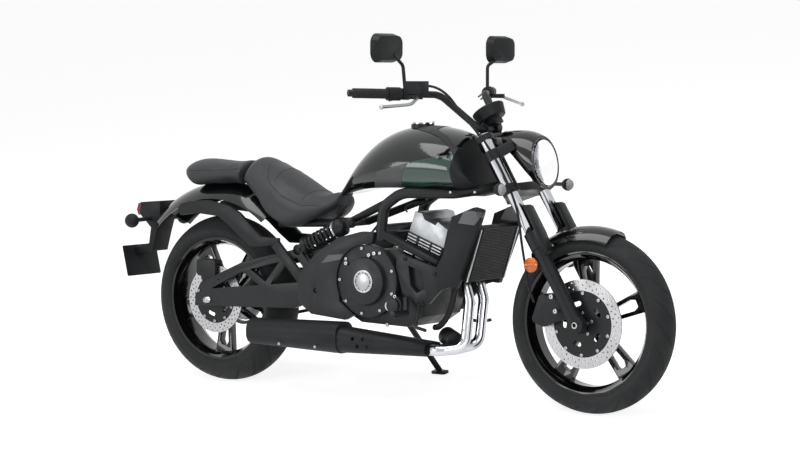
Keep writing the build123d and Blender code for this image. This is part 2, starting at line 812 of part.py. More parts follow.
with BuildPart() as radiator_shrouds:
    for side in (-1, 1):
        slab([(1090, 412), (1118, 410), (1212, 640), (1225, 682), (1190, 690), (1100, 655), (1062, 520),
              (1036, 478.4), (1050.6, 400.4)], side * 133 + 12.7, 25.4)
keep(radiator_shrouds, "radiator_shrouds")

# Tank, seats and rear bodywork
tank_front = fork_plane.offset(0)
with BuildPart() as fuel_tank:
    loft([
        hoop(550, 706, 738, 34), hoop(620, 722, 812, 86), hoop(720, 740, 905, 128),
        hoop(830, 746, 952, 148), hoop(940, 748, 961, 155), hoop(1040, 750, 948, 156),
        hoop(1100, 750, 925, 152),
    ])
    add(frame_tubes.part, mode=Mode.SUBTRACT)
    with BuildSketch(Plane(origin=(880, 0, 966), z_dir=(0, 0, 1))):
        Circle(24)
    extrude(amount=-70, mode=Mode.SUBTRACT)
    with BuildSketch(Plane(origin=(880, 0, 966), z_dir=(0, 0, 1))):
        Circle(42)
    extrude(amount=-16, mode=Mode.SUBTRACT)
keep(fuel_tank, "fuel_tank")

rear_fender_radius = 432
rear_fender_half = 96
cap_seat = 966
with BuildPart() as filler_ring:
    with BuildSketch(Plane.XY.offset(cap_seat - 15.7)):
        with Locations((880, 0)):
            Circle(41)
            Circle(24, mode=Mode.SUBTRACT)
    extrude(amount=15.7)
keep(filler_ring, "filler_ring")

with BuildPart() as filler_cap:
    with BuildSketch(Plane.XY.offset(cap_seat + running_gap)):
        with Locations((880, 0)):
            Circle(36)
    extrude(amount=7)
    bar_along((919, -9, cap_seat + 6), (919, 9, cap_seat + 6), 5)
keep(filler_cap, "filler_cap")

with BuildPart() as rider_seat:
    loft([
        hoop(138, 738, 790, 92), hoop(200, 690, 836, 130), hoop(270, 630, 800, 150),
        hoop(350, 592, 760, 155), hoop(430, 602, 715, 145), hoop(500, 640, 710, 110), hoop(546, 680, 730, 50),
    ])
    with BuildSketch(side_plane(110)):
        with Locations((rear_axle.X, rear_axle.Z)):
            Circle(rear_fender_radius + running_gap)
    extrude(amount=220, mode=Mode.SUBTRACT)
    add(frame_tubes.part, mode=Mode.SUBTRACT)
keep(rider_seat, "rider_seat")

with BuildPart() as passenger_seat:
    loft([hoop(-160, 770, 805, 60), hoop(-120, 735, 820, 100), hoop(0, 735, 818, 112),
          hoop(130, 735, 826, 100)])
    with BuildSketch(side_plane(140)):
        with Locations((rear_axle.X, rear_axle.Z)):
            Circle(rear_fender_radius + running_gap)
    extrude(amount=280, mode=Mode.SUBTRACT)
keep(passenger_seat, "passenger_seat")

with BuildPart() as rear_fender:
    with BuildSketch(radial_plane(rear_axle, -46)):
        with BuildLine():
            ThreePointArc((-rear_fender_half, rear_fender_radius - 60), (0, rear_fender_radius),
                          (rear_fender_half, rear_fender_radius - 60))
            Line((rear_fender_half, rear_fender_radius - 60),
                 (rear_fender_half - fender_wall, rear_fender_radius - 60))
            ThreePointArc((rear_fender_half - fender_wall, rear_fender_radius - 60),
                          (0, rear_fender_radius - fender_wall),
                          (fender_wall - rear_fender_half, rear_fender_radius - 60))
            Line((fender_wall - rear_fender_half, rear_fender_radius - 60),
                 (-rear_fender_half, rear_fender_radius - 60))
        make_face()
    revolve(axis=Axis(rear_axle, (0, 1, 0)), revolution_arc=84)
    add(frame_tubes.part, mode=Mode.SUBTRACT)
keep(rear_fender, "rear_fender")

with BuildPart() as fender_struts:
    for side in (-1, 1):
        slab([(-145, 640), (-130, 618), (-50, 628), (50, 620), (100, 590), (150, 550), (200, 515), (240, 515),
              (330, 528), (330, 550), (250, 552), (200, 592), (150, 635), (100, 660), (0, 678), (-80, 672),
              (-130, 660)], side * 117 + 7, 14)
        slab([(310, 520), (340, 540), (445, 430), (440, 385)], side * 131.3 + 7, 14)
    add(pivot_plates.part, mode=Mode.SUBTRACT)
keep(fender_struts, "fender_struts")

plate_lean = radians(13)
plate_plane = Plane(origin=(-430, 0, 432), x_dir=(0, -1, 0), z_dir=(-cos(plate_lean), 0, -sin(plate_lean)))

with BuildPart() as tail_housing:
    slab([(-395, 655), (-300, 662), (-300, 600), (-320, 540), (-340, 470), (-360, 470), (-345, 560),
          (-400, 610)], 45, 90)
    with BuildSketch(plate_plane.offset(-running_gap)):
        with Locations((0, 36)):
            RectangleRounded(60, 30, 6)
    extrude(amount=-80)
    add(rear_fender.part, mode=Mode.SUBTRACT)
keep(tail_housing, "tail_housing")

with BuildPart() as tail_light:
    slab([(-395.3, 653), (-400.3, 610), (-412, 605), (-420, 625), (-412, 650)], 40, 80)
keep(tail_light, "tail_light")

with BuildPart() as rear_signals:
    for x, y, z in both_sides((-347, 150, 591)):
        with Locations((x, y, z)):
            Sphere(27)
        side = -1 if y < 0 else 1
        bar_along((x, side * 45.3, 594), (x, y - side * 10, z), 8)
keep(rear_signals, "rear_signals")

with BuildPart() as licence_plate:
    with BuildSketch(plate_plane):
        RectangleRounded(190, 118, 6)
    extrude(amount=3)
    add(tail_housing.part, mode=Mode.SUBTRACT)
keep(licence_plate, "licence_plate")

# Foot controls
with BuildPart() as foot_pegs:
    for side in (-1, 1):
        bar_along((925, side * 165, 315), (925, side * 250, 318), 13)
        bar_along((905, side * 141, 365), (925, side * 168, 315), 10)
    add(frame_plates.part, mode=Mode.SUBTRACT)
    add(clutch_cover.part, mode=Mode.SUBTRACT)
keep(foot_pegs, "foot_pegs")

with BuildPart() as foot_levers:
    for side in (-1, 1):
        bent_tube([(960, side * 136, 345), (965, side * 168, 270), (1010, side * 172, 262),
                   (1030, side * 210, 268)], [14, 14], 6)
    add(frame_plates.part, mode=Mode.SUBTRACT)
keep(foot_levers, "foot_levers")

# Final drive
with BuildPart() as rear_sprocket:
    with BuildSketch(side_plane(chain_side + 4)):
        with Locations((rear_axle.X, rear_axle.Z)):
            Circle(sprocket_radius)
            Circle(14, mode=Mode.SUBTRACT)
    extrude(amount=8)
    with BuildSketch(side_plane(chain_side - 4)):
        with Locations((rear_axle.X, rear_axle.Z)):
            Circle(48)
            Circle(14, mode=Mode.SUBTRACT)
    extrude(amount=chain_side - 4 - 72)
keep(rear_sprocket, "rear_sprocket")

chain_inner = sprocket_radius + 5
chain_depth = 12


def chain_loop(grow):
    """Outline around both sprockets, grow outside the chain's inner line."""
    big = chain_inner + grow
    small = front_loop + grow
    x, z = front_sprocket_centre
    with BuildSketch(side_plane(chain_side + chain_width / 2)) as loop:
        with BuildLine():
            back = ThreePointArc((0, rear_axle.Z + big), (-big, rear_axle.Z), (0, rear_axle.Z - big))
            front = ThreePointArc((x, z - small), (x + small, z), (x, z + small))
            Line(back @ 1, front @ 0)
            Line(front @ 1, back @ 0)
        make_face()
    return loop.sketch


with BuildPart() as drive_chain:
    extrude(chain_loop(chain_depth), amount=chain_width)
    extrude(chain_loop(0), amount=chain_width, mode=Mode.SUBTRACT)
keep(drive_chain, "drive_chain")

with BuildPart() as rear_caliper:
    with BuildSketch(side_plane(-rear_disc_side + 24)):
        with Locations((-30, 425)):
            RectangleRounded(90, 62, 14)
    extrude(amount=44)
    with BuildSketch(side_plane(-rear_disc_side + disc_thickness)):
        with Locations((rear_axle.X, rear_axle.Z)):
            Circle(rear_disc_radius + 5)
    extrude(amount=disc_thickness * 2, mode=Mode.SUBTRACT)
    slab([(-60, 410), (10, 410), (26, 300), (-20, 290)], -92, 7)
    with BuildSketch(side_plane(-90)):
        with Locations((rear_axle.X, rear_axle.Z)):
            Circle(axle_diameter / 2)
    extrude(amount=20, mode=Mode.SUBTRACT)
keep(rear_caliper, "rear_caliper")

# Side stand
foot_plane = Plane(
    origin=(stand_foot[0], stand_foot[1], foot_height),
    x_dir=(1, 0, 0),
    z_dir=(0, -sin(radians(lean_angle)), cos(radians(lean_angle))),
)
with BuildPart() as side_stand:
    bar_along(stand_pivot, foot_plane.from_local_coords((0, 0, stand_plate_thickness)), stand_tube_diameter / 2)
    bar_along(stand_pivot - stand_axis * 12, stand_pivot + stand_axis * 12, 16)
    with BuildSketch(Plane(origin=stand_pivot, z_dir=stand_axis)):
        Circle(stand_pin_radius + running_gap)
    extrude(amount=20, both=True, mode=Mode.SUBTRACT)
    with BuildSketch(foot_plane):
        RectangleRounded(62, 38, 12)
    extrude(amount=stand_plate_thickness)
keep(side_stand, "side_stand")

# The lean onto the side stand, and the origin under the middle
lean = Location((0, 0, 0), (-lean_angle, 0, 0))
whole = Compound(children=[piece.moved(lean) for piece in pieces]).bounding_box()
parked = Location((-whole.center().X, -whole.center().Y, 0)) * lean

for piece in pieces:
    export_step(piece.moved(parked), f"parts/{piece.label}.step")
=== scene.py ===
"""Looks of a parked cruiser motorcycle: finishes, seats, tyres and small hardware."""
import json
import math

import bmesh
import bpy
import numpy as np
from bpy.props import FloatProperty, FloatVectorProperty, IntProperty, PointerProperty
from mathutils import Matrix, Vector
from mathutils.bvhtree import BVHTree

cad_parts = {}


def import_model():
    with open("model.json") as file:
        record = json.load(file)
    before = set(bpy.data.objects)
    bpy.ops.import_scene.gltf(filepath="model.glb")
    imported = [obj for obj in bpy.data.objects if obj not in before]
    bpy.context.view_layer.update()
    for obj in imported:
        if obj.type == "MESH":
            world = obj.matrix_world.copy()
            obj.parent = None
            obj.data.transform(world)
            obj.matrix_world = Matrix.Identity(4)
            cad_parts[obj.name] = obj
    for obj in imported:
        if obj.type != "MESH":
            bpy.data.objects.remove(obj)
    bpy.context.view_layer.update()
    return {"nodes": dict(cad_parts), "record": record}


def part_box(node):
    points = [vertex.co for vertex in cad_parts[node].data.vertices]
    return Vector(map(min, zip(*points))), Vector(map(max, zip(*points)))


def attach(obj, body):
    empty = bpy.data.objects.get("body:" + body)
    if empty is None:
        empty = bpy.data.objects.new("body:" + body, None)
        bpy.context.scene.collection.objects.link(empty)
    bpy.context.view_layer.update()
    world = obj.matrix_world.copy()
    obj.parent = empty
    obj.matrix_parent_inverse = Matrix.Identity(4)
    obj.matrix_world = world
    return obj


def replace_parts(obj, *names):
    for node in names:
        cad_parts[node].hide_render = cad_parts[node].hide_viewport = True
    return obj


bl_info = {
    "name": "Cruiser motorcycle looks",
    "version": (1, 0, 0),
    "blender": (4, 5, 0),
    "location": "View3D > Sidebar > Motorcycle",
    "description": "Dresses the packed motorcycle with finishes, seats, tyres and hardware",
    "category": "Object",
}

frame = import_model()
NODES = frame["nodes"]
RECORD = frame["record"]
BODY_OF = {node: body for body, members in RECORD["behaviour"]["bodies"].items() for node in members}
SLOT_OF = {part["node"]: part["material_slot"] for part in RECORD["subparts"]}

# Places are in mm on the upright machine, which leans onto its stand about the ground line
LEAN = math.radians(10)
RAKE = math.radians(31)
REAR_AXLE = Vector((0, 0, 309.34))
FRONT_AXLE = Vector((1575, 0, 309))
FORWARD = Vector((1, 0, 0))
RIGHT = Vector((0, -1, 0))
LEFT = Vector((0, 1, 0))
UP = Vector((0, 0, 1))
MILLIMETRE = 0.001
AXLE_LOW, AXLE_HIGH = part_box("rear_axle")
SHIFT = (AXLE_LOW + AXLE_HIGH) / 2 - Matrix.Rotation(-LEAN, 3, "X") @ (REAR_AXLE * MILLIMETRE)
PARKED = Matrix.Translation(SHIFT) @ Matrix.Rotation(-LEAN, 4, "X")
TO_PARKED = PARKED @ Matrix.Scale(MILLIMETRE, 4)
TO_UPRIGHT = TO_PARKED.inverted()


def on_fork(ahead, left, up):
    """Upright point by its distances ahead of, left of and up the fork from the front axle."""
    return FRONT_AXLE + Vector((
        ahead * math.cos(RAKE) - up * math.sin(RAKE), left, ahead * math.sin(RAKE) + up * math.cos(RAKE)))


def beside(point, y):
    """The point, moved to another Y plane."""
    return Vector((point.x, y, point.z))


def turns(count, start=0.0):
    """Even angles round a circle."""
    return [start + 2 * math.pi * i / count for i in range(count)]


# Nodes of materials and layouts
def new_nodes(tree, *kinds):
    """Nodes of the kinds, in order."""
    return [tree.nodes.new(kind) for kind in kinds]


def preset(node, **values):
    """Sets a node's inputs by their names, which have underscores here for spaces."""
    for label, value in values.items():
        node.inputs[label.replace("_", " ")].default_value = value


def wire(tree, *routes):
    """Links each (node, output, node, input)."""
    for source, output, target, entry in routes:
        tree.links.new(source.outputs[output], target.inputs[entry])


def new_group(name, inputs, outputs):
    """Shader node group with float, colour or vector sockets, and its two end nodes."""
    tree = bpy.data.node_groups.new(name, "ShaderNodeTree")
    for label, kind, value in inputs:
        socket = tree.interface.new_socket(label, in_out="INPUT", socket_type="NodeSocket" + kind)
        socket.default_value = value
    for label, kind in outputs:
        tree.interface.new_socket(label, in_out="OUTPUT", socket_type="NodeSocket" + kind)
    return tree, *new_nodes(tree, "NodeGroupInput", "NodeGroupOutput")


def surface_group():
    """Two mottled colours, a roughness that varies with them and a fine grain."""
    tree, enter, leave = new_group(
        "surface",
        [("Color", "Color", (0.5, 0.5, 0.5, 1)), ("Shade", "Color", (0.4, 0.4, 0.4, 1)),
         ("Patch scale", "Float", 8), ("Grain scale", "Float", 900), ("Smooth", "Float", 0.3),
         ("Rough", "Float", 0.5)],
        [("Color", "Color"), ("Roughness", "Float"), ("Height", "Float")])
    place, patches, grain, blend, spread = new_nodes(
        tree, "ShaderNodeTexCoord", "ShaderNodeTexNoise", "ShaderNodeTexNoise", "ShaderNodeMix",
        "ShaderNodeMapRange")
    preset(patches, Detail=5)
    preset(grain, Detail=2)
    preset(spread, From_Min=0.35, From_Max=0.65)
    blend.data_type = "RGBA"
    # A Mix node's colours are its inputs 6 and 7 and its output 2
    wire(tree, (place, "Object", patches, "Vector"), (place, "Object", grain, "Vector"),
         (enter, "Patch scale", patches, "Scale"), (enter, "Grain scale", grain, "Scale"),
         (patches, "Fac", blend, 0), (enter, "Color", blend, 6), (enter, "Shade", blend, 7),
         (patches, "Fac", spread, "Value"), (enter, "Smooth", spread, "To Min"),
         (enter, "Rough", spread, "To Max"), (blend, 2, leave, "Color"),
         (spread, "Result", leave, "Roughness"), (grain, "Fac", leave, "Height"))
    return tree


def turned_group():
    """Fine rings about a wheel's axle, as turning or moulding leaves them."""
    tree, enter, leave = new_group(
        "turned", [("Centre", "Vector", (0, 0, 0)), ("Rings", "Float", 900)],
        [("Height", "Float"), ("Ribs", "Float")])
    place, upright, split, join, reach, rings, lines, wave = new_nodes(
        tree, "ShaderNodeTexCoord", "ShaderNodeMapping", "ShaderNodeSeparateXYZ", "ShaderNodeCombineXYZ",
        "ShaderNodeVectorMath", "ShaderNodeMath", "ShaderNodeTexNoise", "ShaderNodeMath")
    reach.operation, rings.operation, wave.operation = "LENGTH", "MULTIPLY", "SINE"
    lines.noise_dimensions = "1D"
    preset(upright, Rotation=(LEAN, 0, 0))
    preset(lines, Scale=1)
    wire(tree, (place, "Object", upright, "Vector"), (enter, "Centre", upright, "Location"),
         (upright, "Vector", split, "Vector"), (split, "X", join, "X"), (split, "Z", join, "Z"),
         (join, "Vector", reach, 0), (reach, "Value", rings, 0), (enter, "Rings", rings, 1),
         (rings, "Value", lines, "W"), (rings, "Value", wave, 0), (lines, "Fac", leave, "Height"),
         (wave, "Value", leave, "Ribs"))
    return tree


# Finishes, kept by name here because the frame brings materials of the slots' names
SURFACE = surface_group()
TURNED = turned_group()
BACK_SHIFT = -(Matrix.Rotation(LEAN, 3, "X") @ SHIFT)
FINISHES = {}


def finish(name, colour, shade, smooth, rough, patch=8.0, grain=900.0, bump=0.15, depth=0.0003, **sockets):
    """Material of the surface group, with any plain Principled sockets set by name."""
    mat = FINISHES[name] = bpy.data.materials.new(name)
    mat.use_nodes = True
    tree = mat.node_tree
    shader = tree.nodes["Principled BSDF"]
    look, relief = new_nodes(tree, "ShaderNodeGroup", "ShaderNodeBump")
    relief.name = "relief"
    look.node_tree = SURFACE
    preset(look, Color=(*colour, 1), Shade=(*shade, 1), Patch_scale=patch, Grain_scale=grain, Smooth=smooth,
           Rough=rough)
    preset(relief, Strength=bump, Distance=depth)
    preset(shader, **sockets)
    wire(tree, (look, "Color", shader, "Base Color"), (look, "Roughness", shader, "Roughness"),
         (look, "Height", relief, "Height"), (relief, "Normal", shader, "Normal"))
    return mat


def relief_from(mat, kind, output, **inputs):
    """Feeds the material's bump from another texture on Object coordinates."""
    tree = mat.node_tree
    place, texture = new_nodes(tree, "ShaderNodeTexCoord", kind)
    preset(texture, **inputs)
    wire(tree, (place, "Object", texture, "Vector"), (texture, output, tree.nodes["relief"], "Height"))
    return texture


def relief_turned(mat, centre, rings, output):
    """Feeds the material's bump from rings about an axle."""
    tree = mat.node_tree
    turned = tree.nodes.new("ShaderNodeGroup")
    turned.node_tree = TURNED
    preset(turned, Centre=BACK_SHIFT - centre * MILLIMETRE, Rings=rings)
    wire(tree, (turned, output, tree.nodes["relief"], "Height"))


def slot_finishes(colours):
    """One material for each of the record's slots, and those of the trim."""
    rubber = finish("tyre", (0.020, 0.0215, 0.0225), (0.030, 0.0315, 0.0325), 0.62, 0.85, 14, 1800, 0.25,
                    Specular_IOR_Level=0.2)
    finish("gloss_black", (0.002, 0.002, 0.0023), (0.0035, 0.0035, 0.0038), 0.08, 0.16, 5, 1500, 0.02,
           Coat_Weight=0.4, Coat_Roughness=0.04, Specular_IOR_Level=0.3)
    disc = finish("disc_steel", (0.40, 0.40, 0.41), (0.29, 0.29, 0.30), 0.28, 0.42, 18, 900, 0.12, 0.0002,
                  Metallic=1.0)
    finish("chrome", (0.62, 0.63, 0.65), (0.42, 0.43, 0.46), 0.07, 0.16, 9, 300, 0.04, Metallic=1.0)
    finish("satin_black", (0.0085, 0.0095, 0.0105), (0.014, 0.0152, 0.0165), 0.34, 0.5, 9, 1400, 0.12,
           Specular_IOR_Level=0.2)
    finish("bare_metal", (0.42, 0.43, 0.44), (0.29, 0.30, 0.31), 0.24, 0.42, 20, 1200, 0.1, Metallic=1.0)
    lens = finish("clear_lens", (0.80, 0.81, 0.83), (0.66, 0.67, 0.70), 0.05, 0.16, 20, 500, 0.1,
                  Transmission_Weight=0.55, IOR=1.45)
    amber = finish("amber", (0.80, 0.17, 0.006), (0.62, 0.11, 0.004), 0.12, 0.25, 30, 600, 0.2,
                   Coat_Weight=0.3)
    grip = finish("grip_rubber", (0.016, 0.0172, 0.0188), (0.025, 0.0266, 0.0285), 0.55, 0.75, 16, 1500, 0.5,
                  0.0012, Specular_IOR_Level=0.2)
    finish("black_plastic", (0.0085, 0.0095, 0.0105), (0.0135, 0.0147, 0.016), 0.42, 0.6, 8, 2200, 0.35,
           Specular_IOR_Level=0.18)
    finish("frame_black", (0.009, 0.010, 0.0112), (0.0145, 0.0158, 0.0175), 0.34, 0.5, 7, 1700, 0.2,
           Specular_IOR_Level=0.24)
    finish("engine_black", (0.0085, 0.0094, 0.0105), (0.0155, 0.0168, 0.0185), 0.34, 0.56, 16, 900, 0.35,
           Specular_IOR_Level=0.26)
    finish("cast_silver", (0.42, 0.43, 0.44), (0.27, 0.28, 0.29), 0.32, 0.48, 22, 1100, 0.3, Metallic=0.9)
    finish("exhaust_black", (0.0075, 0.0084, 0.0096), (0.0135, 0.0148, 0.0164), 0.42, 0.6, 7, 1300, 0.25,
           Specular_IOR_Level=0.2)
    core = finish("radiator_black", (0.0045, 0.005, 0.0055), (0.0085, 0.0092, 0.010), 0.4, 0.6, 30, 900, 0.5,
                  0.0008, Specular_IOR_Level=0.14)
    finish("dark_green", colours.body_paint, (0.003, 0.0065, 0.0055), 0.08, 0.15, 4, 5200, 0.03,
           Coat_Weight=0.5, Coat_Roughness=0.03, Specular_IOR_Level=0.3)
    vinyl = finish("seat_vinyl", colours.vinyl, (0.034, 0.036, 0.0395), 0.42, 0.58, 6, 900, 0.45, 0.0006,
                   Specular_IOR_Level=0.3)
    red = finish("red_lens", (0.24, 0.005, 0.008), (0.16, 0.003, 0.006), 0.08, 0.2, 26, 600, 0.2,
                 Coat_Weight=0.3)
    finish("chain_steel", (0.16, 0.16, 0.16), (0.08, 0.075, 0.07), 0.32, 0.55, 60, 1500, 0.3, Metallic=1.0)
    # Trim that the record's slots don't name
    finish("hose_rubber", (0.008, 0.0085, 0.009), (0.0135, 0.0142, 0.015), 0.42, 0.6, 14, 1600, 0.15,
           Specular_IOR_Level=0.2)
    finish("panel_green", colours.panel, (0.013, 0.055, 0.040), 0.09, 0.18, 4, 5200, 0.03, Coat_Weight=0.3)
    finish("stripe_grey", colours.stripe, (0.075, 0.077, 0.080), 0.28, 0.4, 6, 1500, 0.05,
           Specular_IOR_Level=0.3)
    finish("trim_grey", colours.trim, (0.030, 0.031, 0.033), 0.38, 0.52, 7, 1800, 0.15,
           Specular_IOR_Level=0.2)
    finish("mirror_glass", (0.80, 0.81, 0.82), (0.78, 0.79, 0.80), 0.01, 0.03, 6, 200, 0.0, Metallic=1.0)
    finish("reflector", (0.66, 0.67, 0.69), (0.36, 0.37, 0.40), 0.05, 0.15, 40, 90, 0.8, 0.004, Metallic=1.0)
    finish("lamp_glass", (0.97, 0.98, 1.0), (0.94, 0.95, 0.98), 0.0, 0.04, 6, 200, 0.02,
           Transmission_Weight=1.0, IOR=1.3)
    finish("thread", (0.055, 0.056, 0.058), (0.085, 0.085, 0.087), 0.5, 0.7, 90, 2600, 0.4)
    relief_from(grip, "ShaderNodeTexWave", "Fac", Scale=72.0, Distortion=0.6).bands_direction = "Y"
    relief_from(core, "ShaderNodeTexWave", "Fac", Scale=130.0).bands_direction = "Y"
    relief_from(vinyl, "ShaderNodeTexVoronoi", "Distance", Scale=620.0)
    for glass in (lens, red, amber):
        relief_from(glass, "ShaderNodeTexVoronoi", "Distance", Scale=230.0)
    relief_turned(disc, FRONT_AXLE, 5200.0, "Height")
    relief_turned(rubber, REAR_AXLE, 900.0, "Ribs")


# Meshes. Forms are drawn upright in millimetres and land parked in metres.
# Corners nearer than the merges are one, in metres on a node and in millimetres on a run, and faces
# that meet flatter than FLAT are one. Folds sharper than ROUND_FROM are rounded on castings and sheets
MERGE = 2e-5
RUN_MERGE = 1e-4
FLAT = math.radians(0.6)
ROUND_FROM = math.radians(38)
# Shading stays smooth over folds up to so many degrees
CARVED_FOLD = 35
DISC_FOLD = 30
SOFT_FOLD = 60
PATCH_FAR = 260


def mesh_of(name, form):
    """Mesh of a form, which is freed."""
    mesh = bpy.data.meshes.new(name)
    form.to_mesh(mesh)
    form.free()
    return mesh


def shaded(mesh, fold):
    """The mesh, shaded smooth up to a fold of so many degrees."""
    mesh.shade_smooth()
    mesh.set_sharp_from_angle(angle=math.radians(fold))
    return mesh


def landed(name, form, fold=40):
    """Shaded mesh of an upright form as it is parked."""
    form.transform(TO_PARKED)
    return shaded(mesh_of(name, form), fold)


def add_piece(name, mesh, body, slot, look=None):
    """Object of a finished mesh, on its body and slot."""
    obj = scratch(name, mesh)
    mesh.materials.clear()
    mesh.materials.append(FINISHES[look or slot])
    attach(obj, body)
    return obj


def fitted(name, form, body, slot, look=None, fold=40):
    """Piece of an upright form."""
    return add_piece(name, landed(name, form, fold), body, slot, look)


def scratch(name, data):
    """Object in the scene."""
    obj = bpy.data.objects.new(name, data)
    bpy.context.scene.collection.objects.link(obj)
    return obj


def discard(*objects):
    """Takes scratch objects away."""
    for obj in objects:
        bpy.data.objects.remove(obj)


def evaluated(obj):
    """Plain mesh of an object with its modifiers, which are then taken off."""
    mesh = bpy.data.meshes.new_from_object(obj.evaluated_get(bpy.context.evaluated_depsgraph_get()))
    obj.modifiers.clear()
    return mesh


def cut(carrier, tool, way="DIFFERENCE"):
    """Boolean modifier that takes the tool from the carrier, or keeps what both hold."""
    blade = carrier.modifiers.new("cut", "BOOLEAN")
    blade.operation, blade.object, blade.solver = way, tool, "EXACT"
    return blade


def parked_form(node):
    """Joined faces of a CAD node, where it is parked."""
    form = bmesh.new()
    form.from_mesh(NODES[node].data)
    bmesh.ops.remove_doubles(form, verts=form.verts, dist=MERGE)
    return form


def node_form(node):
    """Upright form of a CAD node."""
    form = parked_form(node)
    form.transform(TO_UPRIGHT)
    return form


def flat_form(node):
    """Parked form of a CAD node with each flat face whole."""
    form = parked_form(node)
    bmesh.ops.dissolve_limit(form, angle_limit=FLAT, verts=form.verts, edges=form.edges)
    return form


def skin(node, edge=0.0, look=None, holes=()):
    """Piece that stands for a CAD node, with holes taken out of it and its edges rounded by edge mm."""
    name = node + "_skin"
    carrier = scratch(name, mesh_of(name, flat_form(node) if edge else parked_form(node)))
    for tool in holes:
        cut(carrier, tool)
    if edge:
        bevel = carrier.modifiers.new("edges", "BEVEL")
        bevel.width, bevel.segments = edge * MILLIMETRE, 2
        bevel.limit_method, bevel.angle_limit = "ANGLE", ROUND_FROM
        carrier.modifiers.new("even", "WEIGHTED_NORMAL").keep_sharp = True
    mesh = evaluated(carrier)
    discard(carrier, *holes)
    piece = add_piece(name, shaded(mesh, CARVED_FOLD), BODY_OF[node], SLOT_OF[node], look)
    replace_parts(piece, node)


def closed_form(rings):
    """Form through rings of points, with its two ends filled."""
    form = bmesh.new()
    loops = [[form.verts.new(point) for point in ring] for ring in rings]
    for near, far in zip(loops, loops[1:]):
        for i in range(len(near)):
            form.faces.new((near[i - 1], near[i], far[i], far[i - 1]))
    form.faces.new(loops[0][::-1])
    form.faces.new(loops[-1])
    bmesh.ops.recalc_face_normals(form, faces=form.faces)
    return form


def prism(outline, near, far):
    """Upright form of an outline in X and Z between two Y planes."""
    return closed_form([[(x, y, z) for x, z in outline] for y in (near, far)])


def slab(corner, along, up, near, far):
    """Upright form of the slanted box on two edges from a corner, between two Y planes."""
    corners = (corner, corner + along, corner + along + up, corner + up)
    return prism([(spot.x, spot.z) for spot in corners], near, far)


def turned_form(profile, middle, axis, sides=32):
    """Upright form of a profile of (radius, height) turned about an axis at middle, closed at its ends."""
    turn = Matrix.Translation(middle) @ Vector(axis).to_track_quat("Z", "Y").to_matrix().to_4x4()
    return closed_form([[turn @ Vector((radius * math.cos(angle), radius * math.sin(angle), height))
                         for angle in turns(sides)] for radius, height in profile])


def run_form(points, radius):
    """Upright form of a round run that follows a smooth line."""
    line = bpy.data.curves.new("run", "CURVE")
    line.dimensions = "3D"
    line.bevel_depth, line.bevel_resolution, line.resolution_u, line.use_fill_caps = radius, 2, 6, True
    spline = line.splines.new("NURBS")
    spline.points.add(len(points) - 1)
    for point, spot in zip(spline.points, points):
        point.co = (*spot, 1)
    spline.order_u, spline.use_endpoint_u = 3, True
    carrier = scratch("run", line)
    form = bmesh.new()
    form.from_mesh(evaluated(carrier))
    discard(carrier)
    bmesh.ops.remove_doubles(form, verts=form.verts, dist=RUN_MERGE)
    bmesh.ops.recalc_face_normals(form, faces=form.faces)
    return form


def joined_forms(forms):
    """One form of several, which are freed."""
    whole = bmesh.new()
    for form in forms:
        mesh = mesh_of("part", form)
        whole.from_mesh(mesh)
        bpy.data.meshes.remove(mesh)
    return whole


def patch(name, node, outline, look, lift=0.5, near=40):
    """Thin layer of another finish over what an outline covers on both sides of a node."""
    cover = node_form(node)
    cover.normal_update()
    for vert in cover.verts:
        vert.co += vert.normal * lift
    whole = mesh_of(name, cover)
    layer = bmesh.new()
    for side in (-1, 1):
        carrier = scratch(name + "_shell", whole.copy())
        blade = mesh_of(name + "_blade", prism(outline, side * near, side * PATCH_FAR))
        tool = scratch(name + "_blade", blade)
        cut(carrier, tool, "INTERSECT").use_self = True
        layer.from_mesh(evaluated(carrier))
        discard(carrier, tool)
    fitted(name, layer, BODY_OF[node], SLOT_OF[node], look)


# Fasteners, laid on points by a Geometry Nodes tree
# Radius and height round a socket head screw of radius 1, and whether the ring has six sides
SCREW_RINGS = ((1, -0.3, False), (1, 0.5, False), (0.86, 0.68, False), (0.52, 0.68, True), (0.5, 0.22, True))
SCREW_SIDES = 12
HEX_FLAT = math.cos(math.pi / 6)


def screw_form():
    """Socket head screw of radius 1, standing on its seat."""
    rings = []
    for radius, height, hexed in SCREW_RINGS:
        reaches = (radius, radius * HEX_FLAT if hexed else radius)
        rings.append([(reaches[i % 2] * math.cos(angle), reaches[i % 2] * math.sin(angle), height)
                      for i, angle in enumerate(turns(SCREW_SIDES))])
    return closed_form(rings)


